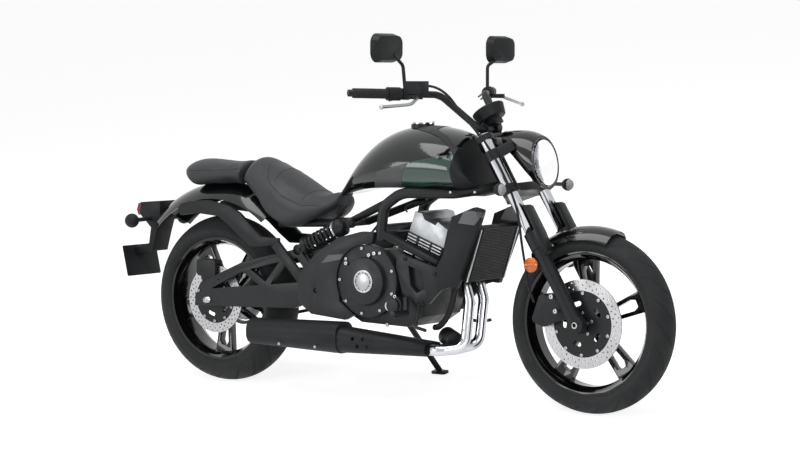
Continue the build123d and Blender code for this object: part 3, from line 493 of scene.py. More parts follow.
def scatter_tree(name, material):
    """Geometry Nodes tree that stands a shape on points, turned to their aim and scaled by their size."""
    tree = bpy.data.node_groups.new(name, "GeometryNodeTree")
    for label, way, kind in (("Geometry", "INPUT", "Geometry"), ("Shape", "INPUT", "Object"),
                             ("Scale", "INPUT", "Float"), ("Geometry", "OUTPUT", "Geometry")):
        tree.interface.new_socket(label, in_out=way, socket_type="NodeSocket" + kind)
    enter, leave, aim, size, shape, turn, grow, stand, real, dress = new_nodes(
        tree, "NodeGroupInput", "NodeGroupOutput", "GeometryNodeInputNamedAttribute",
        "GeometryNodeInputNamedAttribute", "GeometryNodeObjectInfo", "FunctionNodeAlignRotationToVector",
        "ShaderNodeMath", "GeometryNodeInstanceOnPoints", "GeometryNodeRealizeInstances",
        "GeometryNodeSetMaterial")
    aim.data_type, size.data_type = "FLOAT_VECTOR", "FLOAT"
    turn.axis, grow.operation = "Z", "MULTIPLY"
    preset(aim, Name="aim")
    preset(size, Name="size")
    preset(dress, Material=material)
    wire(tree, (enter, "Geometry", stand, "Points"), (enter, "Shape", shape, "Object"),
         (shape, "Geometry", stand, "Instance"), (aim, "Attribute", turn, "Vector"),
         (turn, "Rotation", stand, "Rotation"), (size, "Attribute", grow, 0), (enter, "Scale", grow, 1),
         (grow, "Value", stand, "Scale"), (stand, "Instances", real, "Geometry"),
         (real, "Geometry", dress, "Geometry"), (dress, "Geometry", leave, "Geometry"))
    return tree


def scatter(name, form, spots, body, slot, look=None):
    """Piece of one shape at many upright spots of (point, aim, size in mm)."""
    points = bpy.data.meshes.new(name + "_points")
    points.from_pydata([tuple(TO_PARKED @ Vector(spot)) for spot, aim, size in spots], [], [])
    points.attributes.new("aim", "FLOAT_VECTOR", "POINT")
    points.attributes.new("size", "FLOAT", "POINT")
    # Both are fetched anew, since adding the second makes the first one's handle stale
    aims, sizes = points.attributes["aim"], points.attributes["size"]
    for i, (spot, aim, size) in enumerate(spots):
        aims.data[i].vector = PARKED.to_3x3() @ Vector(aim).normalized()
        sizes.data[i].value = size
    pattern = scratch(name + "_shape", mesh_of(name + "_shape", form))
    carrier = scratch(name + "_points", points)
    tree = scatter_tree(name + "_layout", FINISHES[look or slot])
    layout = carrier.modifiers.new("layout", "NODES")
    layout.node_group = tree
    sockets = {item.name: item.identifier for item in tree.interface.items_tree if item.in_out == "INPUT"}
    layout[sockets["Shape"]] = pattern
    layout[sockets["Scale"]] = MILLIMETRE
    mesh = evaluated(carrier)
    discard(carrier, pattern)
    add_piece(name, shaded(mesh, CARVED_FOLD), body, slot, look)


def circle_of(middle, axis, radius, count, size, start=0.0):
    """Spots on a bolt circle in an X and Z plane."""
    return [((middle[0] + radius * math.cos(angle), middle[1], middle[2] + radius * math.sin(angle)), axis,
             size) for angle in turns(count, start)]


def circles_of(rows):
    """Spots of several bolt circles."""
    return [spot for row in rows for spot in circle_of(*row)]


def on_right(screws):
    """Spots of screws of (place, radius) that face right."""
    return [(place, RIGHT, radius) for place, radius in screws]


def colour_of(name, description, default):
    """Setting of a colour."""
    return FloatVectorProperty(name=name, description=description, subtype="COLOR", size=3, default=default)


def length_of(name, description, default, least, most):
    """Setting of a size in millimetres."""
    return FloatProperty(name=name, description=description + " in millimetres", default=default, min=least,
                         max=most)


def grooves_of(name, description, default):
    """Setting of how many grooves go round."""
    return IntProperty(name=name, description=description, default=default, min=6, max=60)


class CruiserColours(bpy.types.PropertyGroup):
    """Colours that a user would change"""

    body_paint: colour_of("Body paint", "Dark green of the tank and rear fender", (0.0022, 0.0048, 0.0040))
    panel: colour_of("Side panel", "Lighter green panel on the tank", (0.010, 0.046, 0.032))
    stripe: colour_of("Stripe", "Grey stripe behind the panel", (0.088, 0.090, 0.094))
    trim: colour_of("Tank trim", "Matte band at the front of the tank", (0.022, 0.023, 0.025))
    vinyl: colour_of("Seat vinyl", "Cover of both seats", (0.024, 0.0257, 0.0285))


class CruiserSizes(bpy.types.PropertyGroup):
    """Sizes that a user would change"""

    groove_depth: length_of("Groove depth", "Depth of the tyre grooves", 3.2, 0, 6)
    groove_width: length_of("Groove width", "Width of the tyre grooves", 5.5, 2, 12)
    cast_edge: length_of("Casting edge", "Rounding of cast edges", 1.2, 0, 4)
    sheet_edge: length_of("Sheet edge", "Rounding of sheet edges", 0.8, 0, 3)
    seat_swell: length_of("Seat swell", "Most that the seat foam may swell", 9, 0, 16)
    seam_radius: length_of("Seam radius", "Radius of the seat's sewn welts", 1.5, 0.5, 4)
    front_grooves: grooves_of("Front grooves", "Groove pairs round the front tyre", 22)
    rear_grooves: grooves_of("Rear grooves", "Groove pairs round the rear tyre", 20)


class CRUISER_OT_finishes(bpy.types.Operator):
    """Make the materials and give every CAD node its own"""

    bl_idname = "cruiser.finishes"
    bl_label = "Finishes"

    def execute(self, context):
        slot_finishes(context.scene.cruiser_colours)
        for node, slot in SLOT_OF.items():
            NODES[node].data.materials.clear()
            NODES[node].data.materials.append(FINISHES[slot])
        return {"FINISHED"}


# Tyres. Shares are of the tyre's half width, apart from the crown's height, which is of its width
CROWN_SHARE = 0.33
BEAD_SHARE = 0.8
WALL_BULGE = 0.02
WALL_CURVE = 1.6
TYRE_WALL = 9
CROWN_STEPS = 44
WALL_STEPS = 7
TREAD_STEPS = 576
# How far a groove trails behind, in grooves, how it bends and how far the two sides stand apart
GROOVE_TRAIL = 1.15
GROOVE_BEND = 1.3
GROOVE_STAGGER = 0.25
GROOVE_NARROWING = 0.4
GROOVE_START = 0.08
GROOVE_END = 0.95
GROOVE_FADE = 0.08
TREAD_HEART = 0.9


def tyre_section(half, far, foot):
    """Points (radius, side) of a tyre's outside from bead to bead, closed under its rim, and crown marks."""
    depth = 2 * half * CROWN_SHARE
    crown = (half * half + depth * depth) / (2 * depth)
    edge = math.asin(half / crown)
    shoulder = far - depth
    bead = half * BEAD_SHARE
    arc = [(far - crown + crown * math.cos(a), crown * math.sin(a))
           for a in np.linspace(-edge, edge, CROWN_STEPS)]
    wall = []
    for share in np.linspace(0, 1, WALL_STEPS + 1)[1:]:
        bulge = math.sin(math.pi * share) * half * WALL_BULGE
        out = half + (bead - half) * share ** WALL_CURVE + bulge
        wall.append((shoulder + (foot - shoulder) * share, out))
    inner = [(foot, bead - TYRE_WALL), (foot, TYRE_WALL - bead)]
    ring = arc + wall + inner + [(r, -y) for r, y in reversed(wall)]
    return np.array(ring), np.arange(len(ring)) < CROWN_STEPS


def treaded(node, axle, count, sizes):
    """Tyre of a node's own outline with curved slanted grooves, in place of the node."""
    form = node_form(node)
    spots = np.array([vert.co for vert in form.verts])
    form.free()
    half = np.abs(spots[:, 1]).max()
    radii = np.hypot(spots[:, 0] - axle.x, spots[:, 2] - axle.z)
    far = radii.max()
    ring, crown = tyre_section(half, far, radii.min())
    inward = np.array([far - half * TREAD_HEART, 0.0]) - ring
    inward /= np.linalg.norm(inward, axis=1)[:, None]
    turn = 2 * np.pi * np.arange(TREAD_STEPS)[:, None] / TREAD_STEPS
    off = np.abs(ring[:, 1] / half)
    trail = GROOVE_TRAIL * off ** GROOVE_BEND - GROOVE_STAGGER * np.sign(ring[:, 1])
    phase = turn / (2 * np.pi) * count - trail
    gap = np.abs(phase - np.round(phase)) * (2 * np.pi * far / count)
    width = sizes.groove_width * (1 - GROOVE_NARROWING * off)
    groove = np.clip((width - gap) / (width * 0.5), 0, 1)
    starting = np.clip((off - GROOVE_START) / GROOVE_FADE, 0, 1)
    ending = np.clip((GROOVE_END - off) / GROOVE_FADE, 0, 1)
    depth = sizes.groove_depth * groove * starting * ending * crown
    radial = ring[:, 0] + depth * inward[:, 0]
    across = ring[:, 1] + depth * inward[:, 1]
    verts = np.stack([axle.x + radial * np.cos(turn), across, axle.z + radial * np.sin(turn)], -1)
    index = np.arange(radial.size).reshape(radial.shape)
    ahead, beyond = np.roll(index, -1, 0), np.roll(index, -1, 1)
    faces = np.stack([index, beyond, np.roll(ahead, -1, 1), ahead], -1)
    mesh = bpy.data.meshes.new(node + "_tread")
    mesh.from_pydata(verts.reshape(-1, 3).tolist(), [], faces.reshape(-1, 4).tolist())
    form = bmesh.new()
    form.from_mesh(mesh)
    bmesh.ops.recalc_face_normals(form, faces=form.faces)
    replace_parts(fitted(node + "_treaded", form, BODY_OF[node], "tyre", fold=SOFT_FOLD), node)


class CRUISER_OT_tyres(bpy.types.Operator):
    """Grooved tyres in place of the plain ones"""

    bl_idname = "cruiser.tyres"
    bl_label = "Tyres"

    def execute(self, context):
        sizes = context.scene.cruiser_sizes
        treaded("front_tyre", FRONT_AXLE, sizes.front_grooves, sizes)
        treaded("rear_tyre", REAR_AXLE, sizes.rear_grooves, sizes)
        return {"FINISHED"}


# Smooth and rounded parts
ROUND_NODES = (
    "fork_tubes", "handlebar", "grips", "front_axle", "rear_axle", "hand_levers", "header_pipes",
    "shock_body", "side_stand", "frame_tubes", "filler_cap", "filler_ring", "fork_reflectors",
    "foot_levers", "front_fender", "rear_fender", "fuel_tank", "headlight_shell", "instrument_pod",
)
CAST_NODES = (
    "front_wheel", "rear_wheel", "fork_clamps", "fork_sliders", "front_caliper", "rear_caliper", "crankcase",
    "clutch_cover", "left_covers", "head_cover", "swingarm", "pivot_plates", "frame_plates",
    "radiator_shrouds", "bar_controls", "bar_risers", "muffler", "foot_pegs", "rear_sprocket", "mirrors",
    "tail_housing",
)
SHEET_NODES = (
    "headlight_stay", "fender_struts", "licence_plate", "tail_light", "cylinders", "radiator", "drive_chain",
)
# Holes of the heat shield in X and Z, drilled from outside it
HEAT_HOLES = ((705, 214), (746, 214), (787, 214), (828, 214), (724, 188), (765, 188), (806, 188))
HEAT_HOLE = ((7, 0), (7, 40))
HEAT_SIDE = -170


class CRUISER_OT_skins(bpy.types.Operator):
    """Smooth the round parts and round the edges of castings and sheets"""

    bl_idname = "cruiser.skins"
    bl_label = "Rounded parts"

    def execute(self, context):
        sizes = context.scene.cruiser_sizes
        thin_edge = sizes.sheet_edge * 0.5
        for nodes, edge in ((ROUND_NODES, 0), (CAST_NODES, sizes.cast_edge), (SHEET_NODES, thin_edge)):
            for node in nodes:
                skin(node, edge)
        skin("rear_signals", thin_edge, look="black_plastic")
        holes = [scratch("hole", landed("hole", turned_form(HEAT_HOLE, (x, HEAT_SIDE, z), RIGHT, 16)))
                 for x, z in HEAT_HOLES]
        skin("heat_shield", sizes.sheet_edge, holes=holes)
        return {"FINISHED"}


# Seats. The foam starts smaller than the solid by a share of its swell
FOAM_SHARE = 0.35
PASSENGER_SHARE = 0.7
VOXEL = 0.006
COVER_PRESSURE = 4
COVER_FRAMES = 20
# Welts along the sides in X and Z, and across the rider's seat in X and Y
RIDER_WELT = ((232, 815), (280, 752), (350, 700), (430, 672), (500, 672))
PASSENGER_WELT = ((-150, 782), (-60, 786), (60, 790), (120, 796))
CROSS_WELTS = (
    ((300, -105), (292, -50), (290, 0), (292, 50), (300, 105)),
    ((420, -100), (428, -50), (430, 0), (428, 50), (420, 100)),
)
WELT_SIDE = 400
WELT_ABOVE = 1000
SIDE_STOPS = 70
CROSS_STOPS = 50
SIDE_LIFT = 0.2
CROSS_SHARE = 0.8
STITCH = ((0.25, -1.3), (0.6, -0.9), (0.6, 0.9), (0.25, 1.3))
STITCH_RISE = 3.4


def cushion(node, swell):
    """Seat foam under its cover: the node's solid, remeshed, blown up a little and capped."""
    name = node + "_cushion"
    form = parked_form(node)
    form.normal_update()
    for vert in form.verts:
        vert.co -= vert.normal * swell * FOAM_SHARE
    carrier = scratch(name, mesh_of(name, form))
    remesh = carrier.modifiers.new("remesh", "REMESH")
    remesh.mode, remesh.voxel_size = "VOXEL", VOXEL
    carrier.data = evaluated(carrier)
    start = np.array([vert.co for vert in carrier.data.vertices])
    cloth = carrier.modifiers.new("cover", "CLOTH")
    cloth.settings.use_pressure = True
    cloth.settings.uniform_pressure_force = COVER_PRESSURE
    cloth.settings.effector_weights.gravity = 0
    cloth.point_cache.frame_start, cloth.point_cache.frame_end = 1, COVER_FRAMES
    for step in range(1, COVER_FRAMES + 1):
        bpy.context.scene.frame_set(step)
    moved = np.array([vert.co for vert in evaluated(carrier).vertices]) - start
    far = np.linalg.norm(moved, axis=1)
    moved *= np.minimum(1, swell / np.maximum(far, 1e-9))[:, None]
    carrier.data.vertices.foreach_set("co", (start + moved).ravel())
    bpy.context.scene.frame_set(1)
    relax = carrier.modifiers.new("relax", "SMOOTH")
    relax.iterations, relax.factor = 8, 0.5
    finer = carrier.modifiers.new("finer", "SUBSURF")
    finer.levels = finer.render_levels = 1
    mesh = evaluated(carrier)
    discard(carrier)
    mesh.shade_smooth()
    piece = add_piece(name, mesh, BODY_OF[node], "seat_vinyl")
    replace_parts(piece, node)
    return piece


def laid_on(piece, route, aim, count, lift=0.0):
    """Points on a cushion that an upright route meets, going along aim."""
    tree = BVHTree.FromObject(piece, bpy.context.evaluated_depsgraph_get())
    stops = np.array(route, float)
    reach = np.append(0, np.cumsum(np.linalg.norm(np.diff(stops, axis=0), axis=1)))
    spots = []
    for along in np.linspace(0, reach[-1], count + 1):
        start = TO_PARKED @ Vector([np.interp(along, reach, line) for line in stops.T])
        hit, normal, _, _ = tree.ray_cast(start, PARKED.to_3x3() @ aim)
        if hit is not None:
            spots.append(TO_UPRIGHT @ (hit + normal * lift * MILLIMETRE))
    if len(spots) < 4:
        raise RuntimeError("a seam misses " + piece.name)
    return spots


class CRUISER_OT_seats(bpy.types.Operator):
    """Padded seats with welts and stitches"""

    bl_idname = "cruiser.seats"
    bl_label = "Seats"

    def execute(self, context):
        sizes = context.scene.cruiser_sizes
        swell = sizes.seat_swell * MILLIMETRE
        rider = cushion("rider_seat", swell)
        passenger = cushion("passenger_seat", swell * PASSENGER_SHARE)
        welts, stitches = [], []
        for side in (-1, 1):
            for seat, route in ((rider, RIDER_WELT), (passenger, PASSENGER_WELT)):
                start = [(x, side * WELT_SIDE, z) for x, z in route]
                line = laid_on(seat, start, side * RIGHT, SIDE_STOPS, SIDE_LIFT)
                welts.append(run_form(line[::2], sizes.seam_radius))
                stitches += [(a + UP * STITCH_RISE, b - a, 1.0) for a, b in zip(line, line[1:])]
        for route in CROSS_WELTS:
            line = laid_on(rider, [(x, y, WELT_ABOVE) for x, y in route], -UP, CROSS_STOPS)
            welts.append(run_form(line[::2], sizes.seam_radius * CROSS_SHARE))
        fitted("seat_welts", joined_forms(welts), "frame", "seat_vinyl", fold=SOFT_FOLD)
        bead = turned_form(STITCH, (0, 0, 0), UP, 8)
        scatter("seat_stitches", bead, stitches, "frame", "seat_vinyl", "thread")
        return {"FINISHED"}


# Tank trim, outlined from the side in X and Z
PANEL = ((925, 838), (1119, 873), (1134, 832), (1102, 769), (872, 740), (890, 784))
STRIPE = ((784, 803), (920, 835), (879, 763), (866, 738), (735, 728))
BAND = (
    (880, 1010), (899, 950), (960, 940), (1016, 924), (1062, 900), (1097, 867), (1114, 830), (1112, 797),
    (1087, 762), (1144, 745), (1149, 823), (1136, 856), (1097, 892), (1041, 928), (981, 950), (960, 1010),
)
BAND_LIFT = 1.4
# The cowl runs from the tank's nose to a plane through its foot and brow, and narrows on the way
TANK_NOSE = 1100
COWL_FOOT = (1166, 750)
COWL_BROW = (1101, 876)
COWL_SLANT = (COWL_BROW[0] - COWL_FOOT[0]) / (COWL_BROW[1] - COWL_FOOT[1])
COWL_OVERLAP = 3
COWL_PROUD = 1.006
COWL_NARROWING = 0.16
COWL_FLATTENING = 0.10
COWL_STEPS = 8
COWL_SPACING = 2


def cowl_form():
    """Upright form that carries the tank's front section on to a plane that slants with the fork."""
    tank = node_form("fuel_tank")
    rim = [vert.co.copy() for vert in tank.verts if vert.co.x > TANK_NOSE - 0.5]
    tank.free()
    middle = sum(rim, Vector()) / len(rim)
    rim.sort(key=lambda p: math.atan2(p.z - middle.z, p.y - middle.y))
    edge = rim[:1]
    for spot in rim[1:]:
        if (spot - edge[-1]).length > COWL_SPACING:
            edge.append(spot)
    start = TANK_NOSE - COWL_OVERLAP
    rings = []
    for share in np.linspace(0, 1, COWL_STEPS + 1):
        narrow = COWL_PROUD - COWL_NARROWING * share ** 2
        flat = COWL_PROUD - COWL_FLATTENING * share ** 2
        ring = []
        for spot in edge:
            end = max(COWL_FOOT[0] + (spot.z - COWL_FOOT[1]) * COWL_SLANT, TANK_NOSE + 1)
            height = middle.z + (spot.z - middle.z) * flat
            ring.append((start + share * (end - start), spot.y * narrow, height))
        rings.append(ring)
    return closed_form(rings)


class CRUISER_OT_tank(bpy.types.Operator):
    """Bands and panels of the fuel tank"""

    bl_idname = "cruiser.tank"
    bl_label = "Tank trim"

    def execute(self, context):
        patch("tank_panel", "fuel_tank", PANEL, "panel_green")
        patch("tank_stripe", "fuel_tank", STRIPE, "stripe_grey")
        patch("tank_band", "fuel_tank", BAND, "trim_grey", BAND_LIFT, 0)
        fitted("tank_cowl", cowl_form(), "frame", "black_plastic", fold=50)
        return {"FINISHED"}


# Cooling fins, by the foot of the block's front edge, its height and its length
FIN_FOOT = Vector((868, 0, 524))
FIN_UP = Vector((22, 0, 71))
FIN_ALONG = Vector((145, 0, -53))
FIN_GROUPS = ((0.03, 0.28), (0.36, 0.66), (0.72, 0.98))
FIN_ROWS = 7
FIN_THICKNESS = 3.4
FIN_PROUD = 9
FIN_ROOT = 4
CYLINDER_SIDE = 98
# Clutch badge: its disc and ring as (radius, height), and the spokes that stand between them
CLUTCH = Vector((742, 0, 417))
BADGE_FACE = -166.5
BADGE_DISC = ((28, 0), (28, 2.6), (26.5, 3.2))
BADGE_RING = ((34.5, 0), (34.5, 3.2), (39, 3.2), (40, 2.2), (40, 0))
BADGE_PLACES = 18
SPOKE_SPAN = (29.5, 33.5)
SPOKE_HALF = 3.1
SPOKE_SPREAD = 1.1
SPOKE_HEIGHT = 2.6
# Screws as (place, radius), on the right side of the engine
COVER_SCREWS = (
    ((755, -150, 509), 7.0), ((656, -150, 476), 7.0), ((778, -150, 516), 7.0), ((862, -143, 369), 6.5),
    ((831, -146, 268), 6.5),
)
# Circles of screws as (middle, aim, radius, screws, their radius, start)
COVER_CIRCLES = ((beside(CLUTCH, -147), RIGHT, 116, 9, 5.5, 0.35),)
DARK_CIRCLES = (
    (beside(CLUTCH, -153), RIGHT, 56, 5, 6.0, math.pi / 2), ((780, 151, 395), LEFT, 66, 7, 5.0, 0.2),
)
# Screws of the frame plates in X and Z, the same on both sides
PLATE_SCREWS = ((901, 502), (1026, 456), (1046, 411), (975, 350))
PLATE_SIDE = 141
PLATE_SCREW = 6.5
OIL_CAP = ((18, 0), (18, 4), (16.5, 5.5), (10, 5.5), (9, 4.6))
OIL_CAP_SPOT = (842, -148, 335)
OIL_FILTER = ((30, 0), (32, 3), (32, 62), (29, 68), (14, 70))
OIL_FILTER_SPOT = (1000, -30, 232)
OIL_FILTER_AIM = (0.85, -0.45, -0.2)
# Runs as (points, radius)
COOLANT_HOSE = (
    ((1100, -96, 440), (1080, -96, 396), (1070, -92, 350), (1040, -86, 296), (1000, -78, 262),
     (980, -70, 262)), 11)
LEADS = (
    (((855, -60, 660), (868, -96, 672), (890, -108, 690), (930, -96, 700)), 3),
    (((905, -60, 652), (922, -92, 668), (950, -98, 690), (990, -92, 706)), 3),
    (((700, -92, 560), (742, -98, 596), (770, -88, 640), (800, -80, 680)), 4),
)


def fin_forms():
    """Cooling fins that stand out of both sides of the cylinder block, in three groups."""
    rise = FIN_UP.normalized() * FIN_THICKNESS
    forms = []
    for side in (-1, 1):
        near, far = side * (CYLINDER_SIDE - FIN_ROOT), side * (CYLINDER_SIDE + FIN_PROUD)
        for start, end in FIN_GROUPS:
            for row in range(FIN_ROWS):
                foot = FIN_FOOT + FIN_UP * ((row + 0.35) / FIN_ROWS) + FIN_ALONG * start
                forms.append(slab(foot, FIN_ALONG * (end - start), rise, near, far))
    return forms


def badge_forms():
    """Blank disc, ring and spokes on the clutch cover, with every third spoke left out."""
    middle = beside(CLUTCH, BADGE_FACE)
    forms = [turned_form(BADGE_DISC, middle, RIGHT, 48), turned_form(BADGE_RING, middle, RIGHT, 64)]
    for i, angle in enumerate(turns(BADGE_PLACES)):
        if i % 3:
            way = Vector((math.cos(angle), 0, math.sin(angle)))
            across = Vector((-way.z, 0, way.x)) * SPOKE_HALF
            low, high = (middle + way * reach for reach in SPOKE_SPAN)
            wide = across * SPOKE_SPREAD
            corners = (low - across, low + across, high + wide, high - wide)
            forms.append(prism([(c.x, c.z) for c in corners], BADGE_FACE, BADGE_FACE - SPOKE_HEIGHT))
    return forms


class CRUISER_OT_engine(bpy.types.Operator):
    """Badge disc, screws, fins and hoses of the engine"""

    bl_idname = "cruiser.engine"
    bl_label = "Engine details"

    def execute(self, context):
        fitted("cylinder_fins", joined_forms(fin_forms()), "frame", "cast_silver")
        fitted("clutch_badge", joined_forms(badge_forms()), "frame", "cast_silver")
        bright = on_right(COVER_SCREWS) + circles_of(COVER_CIRCLES)
        scatter("cover_screws", screw_form(), bright, "frame", "bare_metal")
        dark = circles_of(DARK_CIRCLES)
        for way in (RIGHT, LEFT):
            dark += [((x, way.y * PLATE_SIDE, z), way, PLATE_SCREW) for x, z in PLATE_SCREWS]
        scatter("frame_screws", screw_form(), dark, "frame", "satin_black")
        fitted("oil_cap", turned_form(OIL_CAP, OIL_CAP_SPOT, RIGHT, 40), "frame", "cast_silver")
        oil = turned_form(OIL_FILTER, OIL_FILTER_SPOT, OIL_FILTER_AIM, 40)
        fitted("oil_filter", oil, "frame", "engine_black")
        hose, leads = run_form(*COOLANT_HOSE), joined_forms([run_form(*lead) for lead in LEADS])
        fitted("coolant_hose", hose, "frame", "black_plastic", "hose_rubber", SOFT_FOLD)
        fitted("engine_leads", leads, "frame", "black_plastic", "hose_rubber", SOFT_FOLD)
        return {"FINISHED"}


# Strips outlined from the side in X and Z
SHROUD_STRIP = ((1153, 679), (1233, 674), (1193, 629), (1127, 634))
PIVOT_STRIP = ((577, 501), (643, 508), (629, 488), (545, 471))
EXHAUST_SCREWS = (
    ((390, -196, 178), 5.0), ((551, -196, 177), 5.0), ((1087, -133, 738), 4.5), ((1172, -110, 740), 4.5),
)


class CRUISER_OT_trim(bpy.types.Operator):
    """Light strips of the frame covers and screws of the exhaust and radiator"""

    bl_idname = "cruiser.trim"
    bl_label = "Frame trim"

    def execute(self, context):
        patch("shroud_strips", "radiator_shrouds", SHROUD_STRIP, "stripe_grey")
        patch("pivot_strips", "pivot_plates", PIVOT_STRIP, "stripe_grey")
        scatter("exhaust_screws", screw_form(), on_right(EXHAUST_SCREWS), "frame", "bare_metal")
        return {"FINISHED"}


# Wheel hardware. Discs as (node, axle, Y of its middle, radius, inner radius of its track)
DISCS = (
    ("front_brake_disc", FRONT_AXLE, -66, 150, 112), ("rear_brake_disc", REAR_AXLE, -79, 125, 90),
)
# Rows of drilled holes as (share of the track's width, holes, turn in holes)
DRILL_ROWS = ((0.22, 30, 0), (0.5, 30, 0.5), (0.78, 30, 0))
DRILL = ((3.0, -10), (3.0, 10))
# Circles of bolts as (middle, aim, radius, bolts, their radius, start)
FRONT_BOLTS = (
    (beside(FRONT_AXLE, -69), RIGHT, 104, 10, 6.0, 0.3), (beside(FRONT_AXLE, -69), RIGHT, 38, 5, 5.5, 0.3),
)
REAR_BOLTS = (
    (beside(REAR_AXLE, -82), RIGHT, 82, 10, 5.5, 0.3), (beside(REAR_AXLE, 97), LEFT, 40, 5, 6.0, 0.2),
)
CALIPER_BOLTS = (((1484, -118, 400), 8.0), ((1500, -118, 352), 8.0))


def split_disc(node, axle, side, radius, track):
    """Drilled steel track and black carrier in place of a brake disc."""
    inner = landed("carrier_edge", turned_form([(track, -30), (track, 30)], beside(axle, side), RIGHT, 72))
    drills = []
    for share, count, turn in DRILL_ROWS:
        reach = track + (radius - track) * share
        row = circle_of(beside(axle, side), RIGHT, reach, count, 1, 2 * math.pi * turn / count)
        drills += [turned_form(DRILL, spot, aim, 10) for spot, aim, _ in row]
    holes = landed("drill_holes", joined_forms(drills))
    for part, look, cuts in (
        ("track", "disc_steel", (("DIFFERENCE", inner), ("DIFFERENCE", holes))),
        ("carrier", "satin_black", (("INTERSECT", inner),)),
    ):
        carrier = scratch(node + "_cut", mesh_of(node, flat_form(node)))
        tools = [scratch("blade", blade.copy()) for way, blade in cuts]
        for tool, (way, blade) in zip(tools, cuts):
            cut(carrier, tool, way)
        mesh = evaluated(carrier)
        discard(carrier, *tools)
        piece = add_piece(f"{node}_{part}", shaded(mesh, DISC_FOLD), BODY_OF[node], "disc_steel", look)
        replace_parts(piece, node)


class CRUISER_OT_wheels(bpy.types.Operator):
    """Drilled discs, and the bolts of discs and calipers"""

    bl_idname = "cruiser.wheels"
    bl_label = "Wheel hardware"

    def execute(self, context):
        for disc in DISCS:
            split_disc(*disc)
        scatter("front_disc_bolts", screw_form(), circles_of(FRONT_BOLTS), "front_wheel", "bare_metal")
        scatter("rear_disc_bolts", screw_form(), circles_of(REAR_BOLTS), "rear_wheel", "bare_metal")
        scatter("caliper_bolts", screw_form(), on_right(CALIPER_BOLTS), "steering", "bare_metal")
        return {"FINISHED"}


# Shock. Shares are of the way from its lower to its upper eye
SHOCK_LOW = Vector((417, -108, 512))
SHOCK_HIGH = Vector((640, -108, 616))
COIL_SPAN = (0.18, 0.745)
COIL_REACH = 27
COIL_WIRE = 5.2
COIL_TURNS = 7.5
TURN_STEPS = 14
COLLAR = ((20, 0), (33.5, 0), (33.5, 5), (31, 7), (20, 7))
COLLAR_SHARE = 0.735


class CRUISER_OT_spring(bpy.types.Operator):
    """Coil and silver collar of the shock"""

    bl_idname = "cruiser.spring"
    bl_label = "Shock spring"

    def execute(self, context):
        axis = SHOCK_HIGH - SHOCK_LOW
        to_axis = axis.to_track_quat("Z", "Y").to_matrix()
        line = []
        for share in np.linspace(0, 1, int(COIL_TURNS * TURN_STEPS) + 1):
            angle = 2 * math.pi * COIL_TURNS * share
            out = to_axis @ Vector((math.cos(angle), math.sin(angle), 0)) * COIL_REACH
            line.append(SHOCK_LOW + axis * (COIL_SPAN[0] + (COIL_SPAN[1] - COIL_SPAN[0]) * share) + out)
        coil = fitted("shock_coil", run_form(line, COIL_WIRE), "frame", "satin_black", fold=SOFT_FOLD)
        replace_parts(coil, "shock_spring")
        collar = turned_form(COLLAR, SHOCK_LOW + axis * COLLAR_SHARE, axis, 40)
        fitted("shock_collar", collar, "frame", "bare_metal")
        return {"FINISHED"}


# Lines. The two control cables of a side lie beside each other, and the other side mirrors them
BRAKE_LINE = (
    (1002, -226, 1098), (1040, -196, 1108), (1092, -160, 1076), (1140, -150, 1010), on_fork(20, -142, 690),
    on_fork(26, -140, 600), on_fork(22, -138, 500), on_fork(8, -138, 420), on_fork(-36, -132, 330),
    on_fork(-84, -108, 240), on_fork(-112, -96, 190), (1400, -92, 374))
BRAKE_RADIUS = 4.3
CONTROL_CABLE = (
    (925, -286, 1060), (968, -250, 1074), (1020, -190, 1082), (1072, -132, 1052), (1112, -92, 1004),
    (1142, -66, 952), (1162, -56, 915), (1182, -50, 880))
CABLE_RADIUS = 3.2
CABLE_SHIFTS = (0, 9)
CABLE_SPREAD = 0.3


class CRUISER_OT_lines(bpy.types.Operator):
    """Brake line and control cables on the bar and fork"""

    bl_idname = "cruiser.lines"
    bl_label = "Lines and cables"

    def execute(self, context):
        brake = run_form(BRAKE_LINE, BRAKE_RADIUS)
        fitted("brake_line", brake, "steering", "black_plastic", "hose_rubber", SOFT_FOLD)
        cables = [run_form([(x + shift, -side * y + shift * CABLE_SPREAD, z - shift)
                            for x, y, z in CONTROL_CABLE], CABLE_RADIUS)
                  for side in (-1, 1) for shift in CABLE_SHIFTS]
        fitted("control_cables", joined_forms(cables), "steering", "black_plastic", "hose_rubber", SOFT_FOLD)
        return {"FINISHED"}


# Radiator. Louvres and edges stand on the core's front
RADIATOR_LOW = Vector((1142, 0, 430))
RADIATOR_HIGH = Vector((1203, 0, 616))
RADIATOR_HALF = 120
LOUVRES = 34
LOUVRE_PROUD = 2.6
LOUVRE_SHARE = 0.009
LOUVRE_INSET = 20
EDGE_PROUD = 3.4
EDGE_SHARES = (0.01, 0.99)
EDGE_INSETS = (7, 1)


class CRUISER_OT_radiator(bpy.types.Operator):
    """Louvres and edges of the radiator"""

    bl_idname = "cruiser.radiator"
    bl_label = "Radiator"

    def execute(self, context):
        rise = RADIATOR_HIGH - RADIATOR_LOW
        out = Vector((rise.z, 0, -rise.x)).normalized()
        half = RADIATOR_HALF - LOUVRE_INSET
        louvres = [slab(RADIATOR_LOW + rise * ((i + 0.5) / LOUVRES), out * LOUVRE_PROUD, rise * LOUVRE_SHARE,
                        -half, half) for i in range(LOUVRES)]
        fitted("radiator_louvres", joined_forms(louvres), "frame", "radiator_black", "thread")
        low, high = (rise * share for share in EDGE_SHARES)
        near, far = (RADIATOR_HALF - inset for inset in EDGE_INSETS)
        edges = [slab(RADIATOR_LOW + low, out * EDGE_PROUD, high - low, side * near, side * far)
                 for side in (-1, 1)]
        fitted("radiator_edges", joined_forms(edges), "frame", "radiator_black", "bare_metal")
        return {"FINISHED"}


